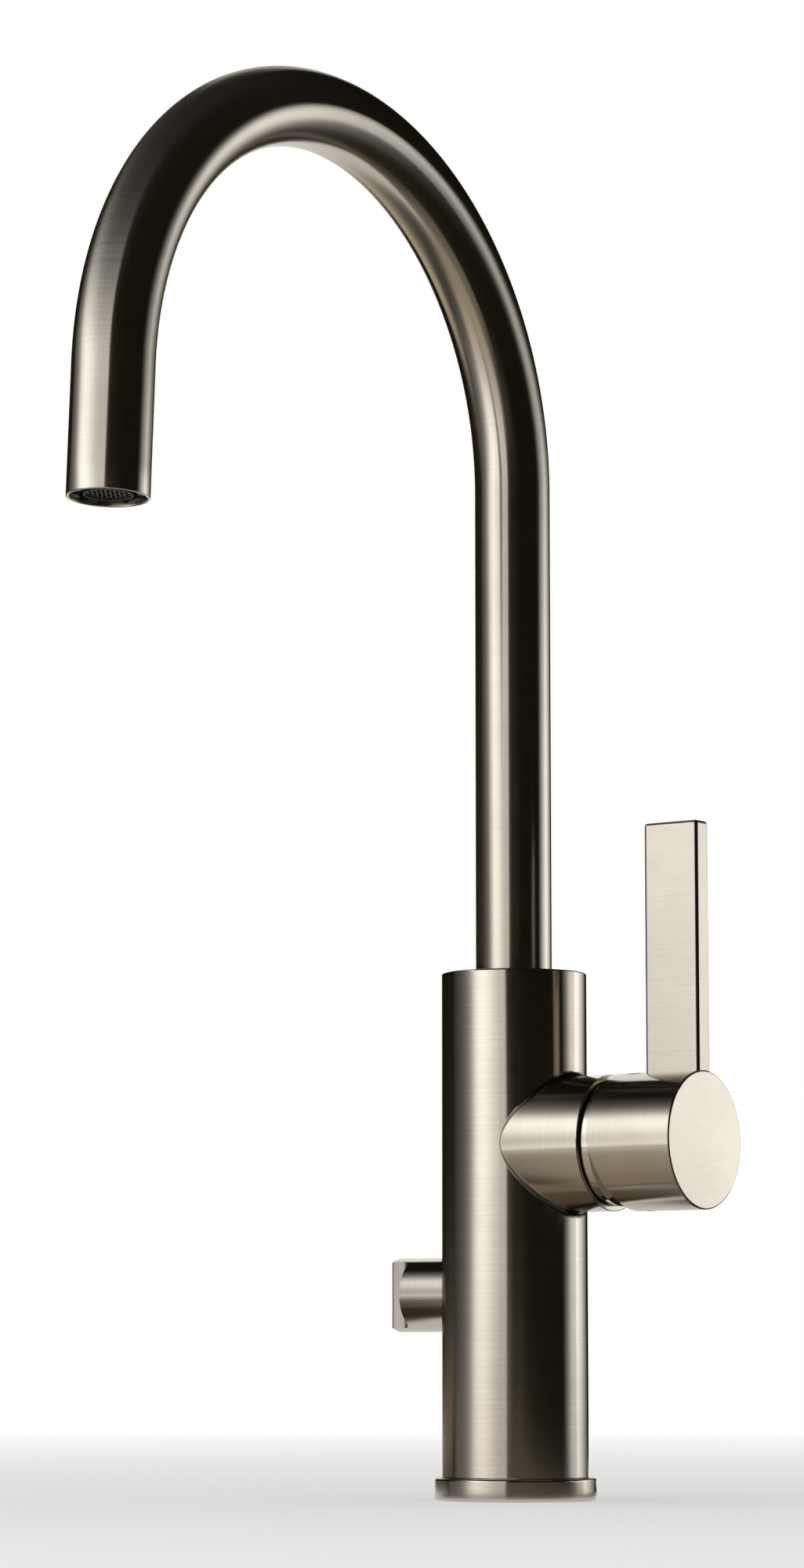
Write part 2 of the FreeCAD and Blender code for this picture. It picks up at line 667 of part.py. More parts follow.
def make_body():
    body = turned("Body", (
        ("0", "spigot_lift"),
        ("spigot_r", "spigot_lift"),
        ("spigot_r", "base_groove_mid - base_groove_half"),
        ("base_groove_r", "base_groove_mid - base_groove_half"),
        ("base_groove_r", "base_groove_mid + base_groove_half"),
        ("spigot_r", "base_groove_mid + base_groove_half"),
        ("spigot_r", "ring_height"),
        ("body_r", "ring_height"),
        ("body_r", "body_top"),
        ("socket_r", "body_top"),
        ("socket_r", "washer_low"),
        ("0", "washer_low"),
    ))
    add_rod(body, "SideHousing", "housing_r", "housing_reach", ("0", "0", "lever_height"), ALONG_X)

    def is_junction(edge):
        point = edge.valueAt((edge.FirstParameter + edge.LastParameter) / 2)
        on_body = abs(math.hypot(point.x, point.y) - value("body_r")) < NEAR
        on_housing = abs(math.hypot(point.y, point.z - value("lever_height")) - value("housing_r")) < NEAR
        return on_body and on_housing and point.x > 0

    def is_end(edge):
        curve = edge.Curve
        return isinstance(curve, Part.Circle) and abs(curve.Center.x - value("housing_reach")) < NEAR

    round_edges(body, "HousingJunction", "housing_fillet", is_junction)
    round_edges(body, "HousingEnd", "housing_edge", is_end)
    round_edges(body, "BodyEdges", "body_edge", lambda edge: (
        is_rim(edge, "body_r", "body_top") or is_rim(edge, "body_r", "ring_height")))

    lever = "lever_height"
    drill(body, "CartridgeChamber", "chamber_r", "housing_reach - cartridge_seat",
          ("cartridge_seat", "0", lever), ALONG_X)
    drill(body, "NutThread", "nut_thread_r", "housing_reach - case_top + nut_step",
          ("case_top - nut_step", "0", lever), ALONG_X)
    for side, sign in (("Hot", ""), ("Cold", "-")):
        channel_y = sign + "inlet_side"
        port_z = "lever_height + inlet_port_rise"
        drill(body, side + "Inlet", "inlet_hole_dia / 2", "inlet_hole_depth",
              ("inlet_forward", channel_y, "spigot_lift"))
        drill(body, side + "Channel", "channel_dia / 2", port_z + " + port_r + land - spigot_lift",
              ("inlet_forward", channel_y, "spigot_lift"))
        drill(body, side + "Port", "port_r", "cartridge_seat - inlet_forward",
              ("inlet_forward", sign + "inlet_port_side", port_z), ALONG_X)
        drill(body, side + "PegHole", "peg_dia / 2 + socket_fit", "peg_length + disc_fit",
              ("cartridge_seat - peg_length - disc_fit", sign + "peg_side", lever), ALONG_X)
    mixed_z = "lever_height - outlet_port_drop"
    drill(body, "MixedPort", "port_r", "cartridge_seat + mixed_back", ("-mixed_back", "0", mixed_z), ALONG_X)
    drill(body, "MixedChannel", "channel_dia / 2", "washer_low - lever_height + outlet_port_drop",
          ("-mixed_back", "0", mixed_z))
    drill(body, "StudHole", "stud_hole_dia / 2", "stud_hole_depth", ("0", "0", "spigot_lift"))

    drill(body, "KnobRecess", "knob_recess_r", "body_r - valve_shoulder",
          ("-valve_shoulder", "0", "valve_rise"), AGAINST_X)
    drill(body, "ValveBore", "valve_bore_r", "valve_shoulder - valve_seat",
          ("-valve_seat", "0", "valve_rise"), AGAINST_X)
    drill(body, "ValveORingRecess", "valve_bore_r + o_ring_recess", "o_ring_recess",
          ("o_ring_recess - valve_shoulder", "0", "valve_rise"), AGAINST_X)
    drill(body, "ValvePort", "port_r", "inlet_forward + valve_seat",
          ("inlet_forward", "0", "valve_rise"), AGAINST_X)
    drill(body, "ValveFeed", "port_r", "inlet_side", ("inlet_forward", "0", "valve_rise"), AGAINST_Y)
    drill(body, "ApplianceOutlet", "inlet_hole_dia / 2", "inlet_hole_depth",
          ("-appliance_back", "0", "spigot_lift"))
    drill(body, "ApplianceChannel", "channel_dia / 2", "valve_rise - spigot_lift",
          ("-appliance_back", "0", "spigot_lift"))

    drill(body, "LockScrewHole", "lock_screw_dia / 2 + grub_fit", "body_r", ("0", "0", "stop_mid"), ALONG_Y)
    keep(body, "body", on_tap_axis)


def make_spout():
    tube = document.addObject("PartDesign::Body", "SpoutTube")
    section = new_sketch(tube, "XY_Plane", "TubeSection")
    section.setExpression("AttachmentOffset.Base.z", bound("tube_low"))
    draw_circle(section, "tube_r")
    draw_circle(section, "tube_in_r")

    route = new_sketch(tube, "YZ_Plane", "TubeRoute")
    radius = value("spout_radius")
    start_height = value("arc_height")
    end_angle = math.radians(value("spout_sweep"))
    centre = FreeCAD.Vector(-radius, start_height, 0)
    arc_end = centre + FreeCAD.Vector(radius * math.cos(end_angle), radius * math.sin(end_angle), 0)
    outlet = FreeCAD.Vector(value("outlet_y"), value("outlet_z"), 0)
    foot = FreeCAD.Vector(0, value("tube_low"), 0)
    riser = route.addGeometry(Part.LineSegment(foot, FreeCAD.Vector(0, start_height, 0)), False)
    bend = Part.ArcOfCircle(Part.Circle(centre, FreeCAD.Vector(0, 0, 1), radius), 0, end_angle)
    bend = route.addGeometry(bend, False)
    drop = route.addGeometry(Part.LineSegment(arc_end, outlet), False)
    route.addConstraint(Sketcher.Constraint("Coincident", riser, 2, bend, 1))
    route.addConstraint(Sketcher.Constraint("Coincident", bend, 2, drop, 1))
    pin(route, "DistanceX", riser, 1, "0")
    pin(route, "DistanceY", riser, 1, "tube_low")
    pin(route, "DistanceX", riser, 2, "0")
    pin(route, "DistanceY", riser, 2, "arc_height")
    pin(route, "DistanceX", bend, 3, "-spout_radius")
    pin(route, "DistanceY", bend, 3, "arc_height")
    pin(route, "DistanceY", bend, 2, "arc_height + spout_radius * sin(spout_sweep)")
    pin(route, "DistanceX", drop, 2, "outlet_y")
    pin(route, "DistanceY", drop, 2, "outlet_z")

    pipe = tube.newObject("PartDesign::AdditivePipe", "TubePipe")
    pipe.Profile = section
    pipe.Spine = (route, ["Edge1", "Edge2", "Edge3"])
    document.recompute()
    bore = drill(tube, "OutletBore", "outlet_bore_r", "outlet_bore_depth", ("0", "outlet_y", "outlet_z"),
                 FreeCAD.Rotation(FreeCAD.Vector(-1, 0, 0), value("outlet_lean")))
    bore.setExpression("Placement.Rotation.Angle", bound("outlet_lean"))
    keep(tube, "spout_tube", on_tap_axis)

    tail = turned("SpoutTail", (
        ("tail_bore_dia / 2", "tail_low"),
        ("tail_r", "tail_low"),
        ("tail_r", "lower_bush_low"),
        ("bush_groove_r", "lower_bush_low"),
        ("bush_groove_r", "lower_bush_low + bush_height"),
        ("tail_r", "lower_bush_low + bush_height"),
        ("tail_r", "lower_o_ring_low"),
        ("o_ring_groove_r", "lower_o_ring_low"),
        ("o_ring_groove_r", "lower_o_ring_low + o_ring_slot"),
        ("tail_r", "lower_o_ring_low + o_ring_slot"),
        ("tail_r", "upper_o_ring_low"),
        ("o_ring_groove_r", "upper_o_ring_low"),
        ("o_ring_groove_r", "upper_o_ring_low + o_ring_slot"),
        ("tail_r", "upper_o_ring_low + o_ring_slot"),
        ("tail_r", "upper_bush_low"),
        ("bush_groove_r", "upper_bush_low"),
        ("bush_groove_r", "upper_bush_low + bush_height"),
        ("tail_r", "upper_bush_low + bush_height"),
        ("tail_r", "tube_low"),
        ("tube_in_r - tail_solder", "tube_low"),
        ("tube_in_r - tail_solder", "tube_low + tail_grip"),
        ("tail_bore_dia / 2", "tube_low + tail_grip"),
    ))
    before = tail.Shape.Volume
    stop = new_sketch(tail, "YZ_Plane", "StopGrooveSection")
    draw_outline(stop, tube_outline(
        "stop_groove_r", "tail_r + land", "stop_low", "stop_low + stop_groove_height"))
    groove = tail.newObject("PartDesign::Groove", "StopGroove")
    groove.Profile = stop
    groove.ReferenceAxis = (stop, ["V_Axis"])
    groove.Midplane = True
    groove.setExpression("Angle", bound("(swivel_each_way + swivel_stop_margin) * 2"))
    document.recompute()
    if tail.Shape.Volume > before - NEAR:
        raise ValueError("the stop groove cuts nothing")
    keep(tail, "spout_tail", on_tap_axis)

    rings = [
        o_ring(name, "spout_o_ring_r", "o_ring_section", low + " + o_ring_slot / 2")
        for name, low in (("LowerORing", "lower_o_ring_low"), ("UpperORing", "upper_o_ring_low"))
    ]
    keep(group("SpoutORings", rings), "spout_o_rings", on_tap_axis)

    bushes = []
    for name, low in (("LowerBush", "lower_bush_low"), ("UpperBush", "upper_bush_low")):
        bush = turned(name, tube_outline(
            "bush_in_r", "bush_out_r", low + " + o_ring_fit", low + " + bush_height - o_ring_fit"))
        block(bush, "SubtractiveBox", name + "Split", "bush_split", "socket_r", "bush_height * 2",
              ("-bush_split / 2", "-socket_r", low + " - bush_height / 2"))
        bushes.append(bush)
    keep(group("SwivelBushes", bushes), "swivel_bushes", on_tap_axis)

    washer = turned("SwivelWasher", tube_outline(
        "tail_bore_dia / 2", "socket_r - socket_fit", "washer_low", "washer_low + washer_height"))
    keep(washer, "swivel_washer", on_tap_axis)

    screw = document.addObject("PartDesign::Body", "LockScrew")
    add_rod(screw, "LockScrewTip", "lock_screw_tip_dia / 2", "socket_r - lock_tip_start + land",
            ("0", "lock_tip_start", "stop_mid"), ALONG_Y)
    add_rod(screw, "LockScrewShank", "lock_screw_dia / 2", "body_r - socket_r - lock_screw_sink",
            ("0", "socket_r", "stop_mid"), ALONG_Y)
    key_socket(screw, "LockScrewKey", "grub_key",
               ("0", "body_r - lock_screw_sink - grub_key_depth", "stop_mid"), ALONG_Y)
    keep(screw, "spout_lock_screw", on_tap_axis)


def grid_cells(radius, low, high):
    """Long cells between ribs inside a circle, with cross bars staggered from rib to rib."""
    pitch = value("grid_pitch")
    length = value("grid_cell")
    bar = value("grid_bar")
    gap = pitch - bar
    reach = int((radius - gap) // pitch)
    cells = []
    for column in range(-reach, reach + 1):
        half = math.sqrt(radius ** 2 - (abs(column) * pitch + gap / 2) ** 2)
        count = int(half // length) + 1
        stops = [(step + column % 2 / 2) * length for step in range(-count, count + 1)]
        ends = [-half - bar / 2] + [stop for stop in stops if abs(stop) < half - pitch] + [half + bar / 2]
        for start, end in zip(ends, ends[1:]):
            corner = FreeCAD.Vector(column * pitch - gap / 2, start + bar / 2, low)
            cells.append(Part.makeBox(gap, end - start - bar, high - low, corner))
    return cells


def make_aerator():
    housing = turned("AeratorHousing", (
        ("aerator_window_r", "aerator_sink"),
        ("aerator_lip_r", "aerator_sink"),
        ("aerator_lip_r", "notch_floor"),
        ("notch_r", "notch_floor"),
        ("notch_r", "aerator_sink"),
        ("aerator_r", "aerator_sink"),
        ("aerator_r", "aerator_top"),
        ("aerator_in_r", "aerator_top"),
        ("aerator_in_r", "grid_seat"),
        ("aerator_window_r", "grid_seat"),
    ))
    notch = block(housing, "SubtractiveBox", "KeyNotch", "tube_r - groove_mid_r", "notch_width", "notch_depth",
                  ("groove_mid_r", "-notch_width / 2", "aerator_sink"))
    pattern_round(housing, notch, "notch_count", "KeyNotches")
    keep(housing, "aerator_housing", at_outlet)

    grid = document.addObject("Part::Feature", "AeratorGrid")
    low = value("grid_low")
    seat = value("grid_seat")
    high = value("insert_low")
    boss_r = value("aerator_window_r - aerator_fit")
    boss = Part.makeCylinder(boss_r, high - low, FreeCAD.Vector(0, 0, low))
    flange = Part.makeCylinder(value("insert_r"), high - seat, FreeCAD.Vector(0, 0, seat))
    cells = Part.makeCompound(grid_cells(boss_r - value("grid_bar"), low, high))
    cells.rotate(FreeCAD.Vector(), FreeCAD.Vector(0, 0, 1), value("grid_turn"))
    grid.Shape = boss.fuse(flange).cut(cells)
    keep(grid, "aerator_grid", at_outlet)

    insert = turned("AeratorInsert", (
        ("0", "aerator_top - jet_plate_height"),
        ("insert_r - insert_wall", "aerator_top - jet_plate_height"),
        ("insert_r - insert_wall", "insert_low"),
        ("insert_r", "insert_low"),
        ("insert_r", "aerator_top"),
        ("0", "aerator_top"),
    ))
    jet = drill(insert, "Jet", "jet_dia / 2", "jet_plate_height",
                ("jet_ring_dia / 2", "0", "aerator_top - jet_plate_height"))
    pattern_round(insert, jet, "jet_count", "Jets")
    keep(insert, "aerator_insert", at_outlet)

    seal = turned("AeratorSeal", tube_outline(
        "aerator_r - aerator_seal_width", "aerator_r", "aerator_top", "aerator_top + aerator_seal_height"))
    keep(seal, "aerator_seal", at_outlet)


PORTS = (
    ("Hot", "-inlet_port_rise", "inlet_port_side"),
    ("Cold", "-inlet_port_rise", "-inlet_port_side"),
    ("Mixed", "outlet_port_drop", "0"),
)


def make_cartridge():
    base = turned("CartridgeBase", (
        ("0", "cartridge_seat"),
        ("cartridge_r", "cartridge_seat"),
        ("cartridge_r", "disc_low"),
        ("0", "disc_low"),
    ))
    for side, sign in (("Hot", ""), ("Cold", "-")):
        add_rod(base, side + "Peg", "peg_dia / 2", "peg_length",
                ("0", sign + "peg_side", "cartridge_seat - peg_length"))
    for name, x, y in PORTS:
        drill(base, name + "BasePort", "port_r", "cartridge_base_height", (x, y, "cartridge_seat"))
        drill(base, name + "SealSeat", "seal_r + disc_film", "seal_height", (x, y, "cartridge_seat"))
    keep(base, "cartridge_base", on_lever_axis)

    seals = [
        ring_solid(name + "PortSeal", "port_r + disc_film", "seal_r", "seal_height", (x, y, "cartridge_seat"))
        for name, x, y in PORTS
    ]
    keep(group("CartridgeSeals", seals), "cartridge_seals", on_lever_axis)

    fixed = turned("FixedDisc", (
        ("0", "disc_low"),
        ("case_in_r - disc_fit", "disc_low"),
        ("case_in_r - disc_fit", "disc_low + fixed_disc_height"),
        ("0", "disc_low + fixed_disc_height"),
    ))
    for name, x, y in PORTS:
        drill(fixed, name + "DiscPort", "port_r", "fixed_disc_height", (x, y, "disc_low"))
    keep(fixed, "fixed_ceramic_disc", on_lever_axis)

    moving = turned("MovingDisc", (
        ("0", "moving_disc_low"),
        ("moving_disc_dia / 2", "moving_disc_low"),
        ("moving_disc_dia / 2", "carrier_low"),
        ("0", "carrier_low"),
    ))
    block(moving, "SubtractiveBox", "MixingPocket", "mixing_pocket_length", "mixing_pocket_width",
          "mixing_pocket_depth", ("-mixing_pocket_lead", "-mixing_pocket_width / 2", "moving_disc_low"))
    keep(moving, "moving_ceramic_disc", on_lever_axis)

    carrier = turned("DiscCarrier", (
        ("ball_dia / 2 + ball_fit", "carrier_low"),
        ("carrier_dia / 2", "carrier_low"),
        ("carrier_dia / 2", "carrier_top"),
        ("ball_dia / 2 + ball_fit", "carrier_top"),
    ))
    for side, sign in (("Hot", ""), ("Cold", "-")):
        block(carrier, "AdditiveBox", side + "Rib", "rib_length", "rib_width", "rib_height",
              ("-rib_length / 2", sign + "rib_side - rib_width / 2", "carrier_top"))
    keep(carrier, "disc_carrier", on_lever_axis)

    case = turned("CartridgeCase", (
        ("case_in_r", "disc_low"),
        ("cartridge_r", "disc_low"),
        ("cartridge_r", "case_top"),
        ("case_in_r - lip_width", "case_top"),
        ("case_in_r - lip_width", "case_top - lip_height"),
        ("case_in_r", "case_top - lip_height"),
    ))
    keep(case, "cartridge_case", on_lever_axis)

    rotor = turned("CartridgeRotor", (
        ("0", "rotor_low"),
        ("rotor_r", "rotor_low"),
        ("rotor_r", "rotor_top"),
        ("0", "rotor_top"),
    ))
    block(rotor, "SubtractiveBox", "StemSlot", "slot_half * 2", "stem_width + stem_fit * 2", "rotor_height",
          ("-slot_half", "-stem_width / 2 - stem_fit", "rotor_low"))
    for side, sign in (("Hot", ""), ("Cold", "-")):
        block(rotor, "SubtractiveBox", side + "Keyway", "rotor_r * 2", "rib_width + rib_fit * 2",
              "rib_height + rib_fit",
              ("-rotor_r", sign + "rib_side - rib_width / 2 - rib_fit", "rotor_low"))
    drill(rotor, "RotorPinHole", "pin_r + pin_fit", "pin_half * 2", ("0", "-pin_half", "pivot"), ALONG_Y)
    keep(rotor, "cartridge_rotor", on_lever_axis)

    pivot_pin = document.addObject("PartDesign::Body", "PivotPin")
    add_rod(pivot_pin, "PinRod", "pin_r", "pin_half * 2", ("0", "-pin_half", "pivot"), ALONG_Y)
    keep(pivot_pin, "pivot_pin", on_lever_axis)

    stem = document.addObject("PartDesign::Body", "LeverStem")
    block(stem, "AdditiveBox", "StemBar", "stem_width", "stem_width", "stem_end - stem_low",
          ("-stem_width / 2", "-stem_width / 2", "stem_low"))
    add_rod(stem, "StemNeck", "neck_dia / 2", "stem_low - ball_place", ("0", "0", "ball_place"))
    add_feature(stem, "AdditiveSphere", "StemBall", {"Radius": "ball_dia / 2"}, UPRIGHT,
                ("0", "0", "ball_place"))
    drill(stem, "StemPinHole", "pin_r + pin_fit", "stem_width", ("0", "-stem_width / 2", "pivot"), ALONG_Y)
    keep(stem, "lever_stem", on_lever_axis)

    nut = turned("CartridgeNut", (
        ("nut_bore_dia / 2", "case_top"),
        ("nut_r", "case_top"),
        ("nut_r", "nut_collar_low"),
        ("nut_collar_r", "nut_collar_low"),
        ("nut_collar_r", "nut_top"),
        ("nut_bore_dia / 2", "nut_top"),
    ))
    keep(nut, "cartridge_nut", on_lever_axis)

    dome = turned("DomeRing", (
        ("dome_in_r", "dome_low"),
        ("dome_r", "dome_low"),
        ("dome_r", "dome_mid"),
        ("dome_end_r", "dome_end"),
        ("dome_in_r", "dome_end"),
    ))
    keep(dome, "dome_ring", on_lever_axis)


BAR_SCREWS = (("Inner", "bar_screw_inner"), ("Outer", "bar_screw_outer"))


def make_handle():
    cap = turned("HandleCap", (
        ("0", "hub_low"),
        ("hub_dia / 2", "hub_low"),
        ("hub_dia / 2", "handle_floor"),
        ("handle_in_r", "handle_floor"),
        ("handle_in_r", "handle_step"),
        ("handle_bore_r", "handle_step"),
        ("handle_bore_r", "handle_low"),
        ("handle_r", "handle_low"),
        ("handle_r", "handle_end"),
        ("0", "handle_end"),
    ))
    round_edges(cap, "HandleEndEdge", "handle_edge", lambda edge: is_rim(edge, "handle_r", "handle_end"))
    add_rod(cap, "GrubBoss", "grub_boss_r", "handle_in_r + handle_wall / 2", ("0", "0", "grub_x"), ALONG_X)
    cut_through(cap, "TiltBevel", "XZ_Plane", (((
        ("0", "handle_low"),
        ("handle_r * 2", "handle_low + handle_bevel * 2"),
        ("handle_r * 2", "handle_low - land"),
        ("0", "handle_low - land"),
    ),)), "handle_r * 3")
    block(cap, "SubtractiveBox", "StemSocket", "stem_width + socket_fit * 2", "stem_width + socket_fit * 2",
          "stem_end + socket_fit - hub_low",
          ("-stem_width / 2 - socket_fit", "-stem_width / 2 - socket_fit", "hub_low"))
    drill(cap, "GrubHole", "grub_r + grub_fit", "handle_r * 2", ("0", "0", "grub_x"), ALONG_X)
    for name, along in BAR_SCREWS:
        drill(cap, name + "BarScrewHole", "bar_screw_r + bar_screw_fit", "handle_r",
              ("-hub_dia / 2 - land", "0", along), AGAINST_X)
    block(cap, "SubtractiveBox", "IndexSlot", "index_depth * 2", "index_width", "index_length",
          ("-handle_r - index_depth", "-index_width / 2", "index_mid - index_length / 2"))
    keep(cap, "handle_cap", on_lever_axis)

    bar = document.addObject("PartDesign::Body", "LeverBar")
    block(bar, "AdditiveBox", "BarBlank", "bar_rise", "bar_thickness", "bar_width",
          ("-bar_rise", "-bar_thickness / 2", "bar_low"))

    def is_bar_edge(edge):
        middle = edge.CenterOfMass
        long_edge = abs(edge.Length - value("bar_rise")) < NEAR
        return long_edge or abs(middle.x + value("bar_rise")) < NEAR

    round_edges(bar, "BarEdges", "bar_edge", is_bar_edge)
    drill(bar, "BarFoot", "handle_r", "bar_width", ("0", "0", "bar_low"))
    for name, along in BAR_SCREWS:
        drill(bar, name + "BarThread", "bar_screw_r + bar_screw_fit", "bar_screw_seat + bar_screw_length",
              ("0", "0", along), AGAINST_X)
    keep(bar, "lever_bar", on_lever_axis)

    screws = []
    for name, along in BAR_SCREWS:
        screw = document.addObject("PartDesign::Body", name + "BarScrew")
        add_rod(screw, name + "BarScrewHead", "bar_screw_head_r", "bar_screw_head_height",
                ("bar_screw_head_height - bar_screw_seat", "0", along), AGAINST_X)
        add_rod(screw, name + "BarScrewShank", "bar_screw_r", "bar_screw_length - land",
                ("-bar_screw_seat", "0", along), AGAINST_X)
        screws.append(screw)
    keep(group("LeverBarScrews", screws), "lever_bar_screws", on_lever_axis)

    grub = document.addObject("PartDesign::Body", "HandleGrub")
    add_rod(grub, "HandleGrubShank", "grub_r", "grub_length", ("stem_width / 2", "0", "grub_x"), ALONG_X)
    key_socket(grub, "HandleGrubKey", "grub_key",
               ("stem_width / 2 + grub_length - grub_key_depth", "0", "grub_x"), ALONG_X)
    keep(grub, "handle_grub_screw", on_lever_axis)

    plug = document.addObject("PartDesign::Body", "IndexPlug")
    add_rod(plug, "PlugRound", "handle_r", "index_length - index_fit * 2",
            ("0", "0", "index_mid - index_length / 2 + index_fit"))
    cut_through(plug, "PlugSides", "XZ_Plane", (((
        ("-index_floor", "index_mid - index_length"),
        ("handle_r * 2", "index_mid - index_length"),
        ("handle_r * 2", "index_mid + index_length"),
        ("-index_floor", "index_mid + index_length"),
    ),)), "handle_r * 3")
    plug_sides = (
        ("Hot", "index_width / 2 - index_fit"),
        ("Cold", "index_fit - index_width / 2 - handle_r"),
    )
    for side, low in plug_sides:
        block(plug, "SubtractiveBox", side + "PlugSide", "handle_r", "handle_r", "index_length * 2",
              ("-handle_r * 1.5", low, "index_mid - index_length"))
    keep(plug, "index_plug", on_lever_axis)


def make_valve():
    headwork = turned("ValveHeadwork", (
        ("0", "headwork_low"),
        ("headwork_r", "headwork_low"),
        ("headwork_r", "headwork_top"),
        ("0", "headwork_top"),
    ))
    hexagon = add_feature(headwork, "AdditivePrism", "HeadworkHexagon",
                          {"Circumradius": "hex_corner_dia / 2", "Height": "hex_height"},
                          UPRIGHT, ("0", "0", "valve_shoulder"))
    hexagon.Polygon = 6
    drill(headwork, "DiscCup", "valve_cup_r", "cup_top - headwork_low", ("0", "0", "headwork_low"))
    drill(headwork, "SpindleBore", "spindle_bore_r", "headwork_top - headwork_low",
          ("0", "0", "headwork_low"))
    drill(headwork, "WaterWindow", "valve_window_dia / 2", "headwork_r * 2",
          ("-headwork_r", "0", "cup_top - valve_window_dia"), ALONG_X)
    keep(headwork, "valve_headwork", on_knob_axis)

    seal = o_ring("HeadworkORing", "valve_bore_r + o_ring_fit + headwork_o_ring_section / 2",
                  "headwork_o_ring_section", "valve_shoulder - o_ring_recess / 2")
    keep(group("HeadworkSeal", [seal]), "valve_headwork_o_ring", on_knob_axis)

    seat = turned("ValveSeatSeal", tube_outline(
        "valve_disc_r - valve_seal_width", "valve_disc_r", "valve_seat", "headwork_low"))
    keep(seat, "valve_seat_seal", on_knob_axis)

    fixed = turned("ValveFixedDisc", (
        ("0", "headwork_low"),
        ("valve_disc_r", "headwork_low"),
        ("valve_disc_r", "headwork_low + valve_disc_height"),
        ("0", "headwork_low + valve_disc_height"),
    ))
    moving = turned("ValveMovingDisc", (
        ("0", "valve_moving_low"),
        ("valve_disc_r", "valve_moving_low"),
        ("valve_disc_r", "valve_moving_low + valve_disc_height"),
        ("0", "valve_moving_low + valve_disc_height"),
    ))
    for name, sign in (("First", ""), ("Second", "-")):
        hole = sign + "valve_disc_hole_side"
        drill(fixed, name + "FixedHole", "valve_disc_hole_dia / 2", "valve_disc_height",
              (hole, "0", "headwork_low"))
        drill(moving, name + "MovingHole", "valve_disc_hole_dia / 2", "valve_disc_height",
              ("0", hole, "valve_moving_low"))
    block(moving, "SubtractiveBox", "TongueSlot", "valve_disc_dia", "tongue_width + tongue_fit * 2",
          "tongue_depth + tongue_fit",
          ("-valve_disc_r", "-tongue_width / 2 - tongue_fit",
           "valve_moving_low + valve_disc_height - tongue_depth - tongue_fit"))
    keep(fixed, "valve_fixed_disc", on_knob_axis)
    keep(moving, "valve_moving_disc", on_knob_axis)

    spindle = turned("ValveSpindle", (
        ("0", "flange_low"),
        ("valve_disc_r", "flange_low"),
        ("valve_disc_r", "flange_low + spindle_flange_height"),
        ("spindle_r", "flange_low + spindle_flange_height"),
        ("spindle_r", "spindle_o_ring_mid - spindle_o_ring_half"),
        ("spindle_groove_r", "spindle_o_ring_mid - spindle_o_ring_half"),
        ("spindle_groove_r", "spindle_o_ring_mid + spindle_o_ring_half"),
        ("spindle_r", "spindle_o_ring_mid + spindle_o_ring_half"),
        ("spindle_r", "circlip_low - circlip_fit"),
        ("circlip_groove_r", "circlip_low - circlip_fit"),
        ("circlip_groove_r", "circlip_top + circlip_fit"),
        ("spindle_r", "circlip_top + circlip_fit"),
        ("spindle_r", "spindle_shoulder"),
        ("spindle_top_r", "spindle_shoulder"),
        ("spindle_top_r", "spindle_end"),
        ("0", "spindle_end"),
    ))
    block(spindle, "AdditiveBox", "DriveTongue", "valve_disc_r", "tongue_width", "tongue_depth",
          ("-valve_disc_r / 2", "-tongue_width / 2", "flange_low - tongue_depth"))
    keep(spindle, "valve_spindle", on_knob_axis)

    ring = o_ring("SpindleORing", "spindle_bore_r - o_ring_fit - o_ring_section / 2", "o_ring_section",
                  "spindle_o_ring_mid")
    keep(group("SpindleSeal", [ring]), "valve_spindle_o_ring", on_knob_axis)

    circlip = turned("ValveCirclip", tube_outline(
        "circlip_groove_r + circlip_fit", "circlip_groove_r + circlip_width", "circlip_low", "circlip_top"))
    block(circlip, "SubtractiveBox", "CirclipSplit", "circlip_split", "spindle_dia", "circlip_height * 2",
          ("-circlip_split / 2", "0", "circlip_low - circlip_height / 2"))
    keep(circlip, "valve_circlip", on_knob_axis)

    knob = turned("ShutoffKnob", (
        ("0", "spindle_end + socket_fit"),
        ("spindle_top_r + socket_fit", "spindle_end + socket_fit"),
        ("spindle_top_r + socket_fit", "knob_floor"),
        ("knob_hollow_r", "knob_floor"),
        ("knob_hollow_r", "knob_foot"),
        ("knob_r", "knob_foot"),
        ("knob_r", "knob_end"),
        ("0", "knob_end"),
    ))
    flats = [
        (
            (sign + "knob_web / 2", "knob_shoulder"),
            (sign + "knob_dia", "knob_shoulder"),
            (sign + "knob_dia", "knob_end + land"),
            (sign + "knob_web / 2", "knob_end + land"),
        )
        for sign in ("", "-")
    ]
    cut_through(knob, "KnobFlats", "YZ_Plane", flats, "knob_dia * 2")

    def is_root(edge):
        middle = edge.CenterOfMass
        on_web = abs(abs(middle.y) - value("knob_web / 2")) < NEAR
        return on_web and abs(middle.z - value("knob_shoulder")) < NEAR

    def is_grip_end(edge):
        return edge.BoundBox.ZMin > value("knob_end") - NEAR

    round_edges(knob, "KnobRoots", "knob_root", is_root)
    round_edges(knob, "KnobGripEdges", "knob_edge", is_grip_end)
    drill(knob, "KnobGrubHole", "knob_grub_r + grub_fit", "knob_r", ("0", "0", "knob_grub_x"), ALONG_Y)
    keep(knob, "shutoff_knob", on_knob_axis)

    grub = document.addObject("PartDesign::Body", "KnobGrub")
    add_rod(grub, "KnobGrubShank", "knob_grub_r", "knob_grub_length",
            ("0", "spindle_top_r", "knob_grub_x"), ALONG_Y)
    key_socket(grub, "KnobGrubKey", "knob_grub_dia / 2",
               ("0", "spindle_top_r + knob_grub_length - grub_key_depth", "knob_grub_x"), ALONG_Y)
    keep(grub, "knob_grub_screw", on_knob_axis)


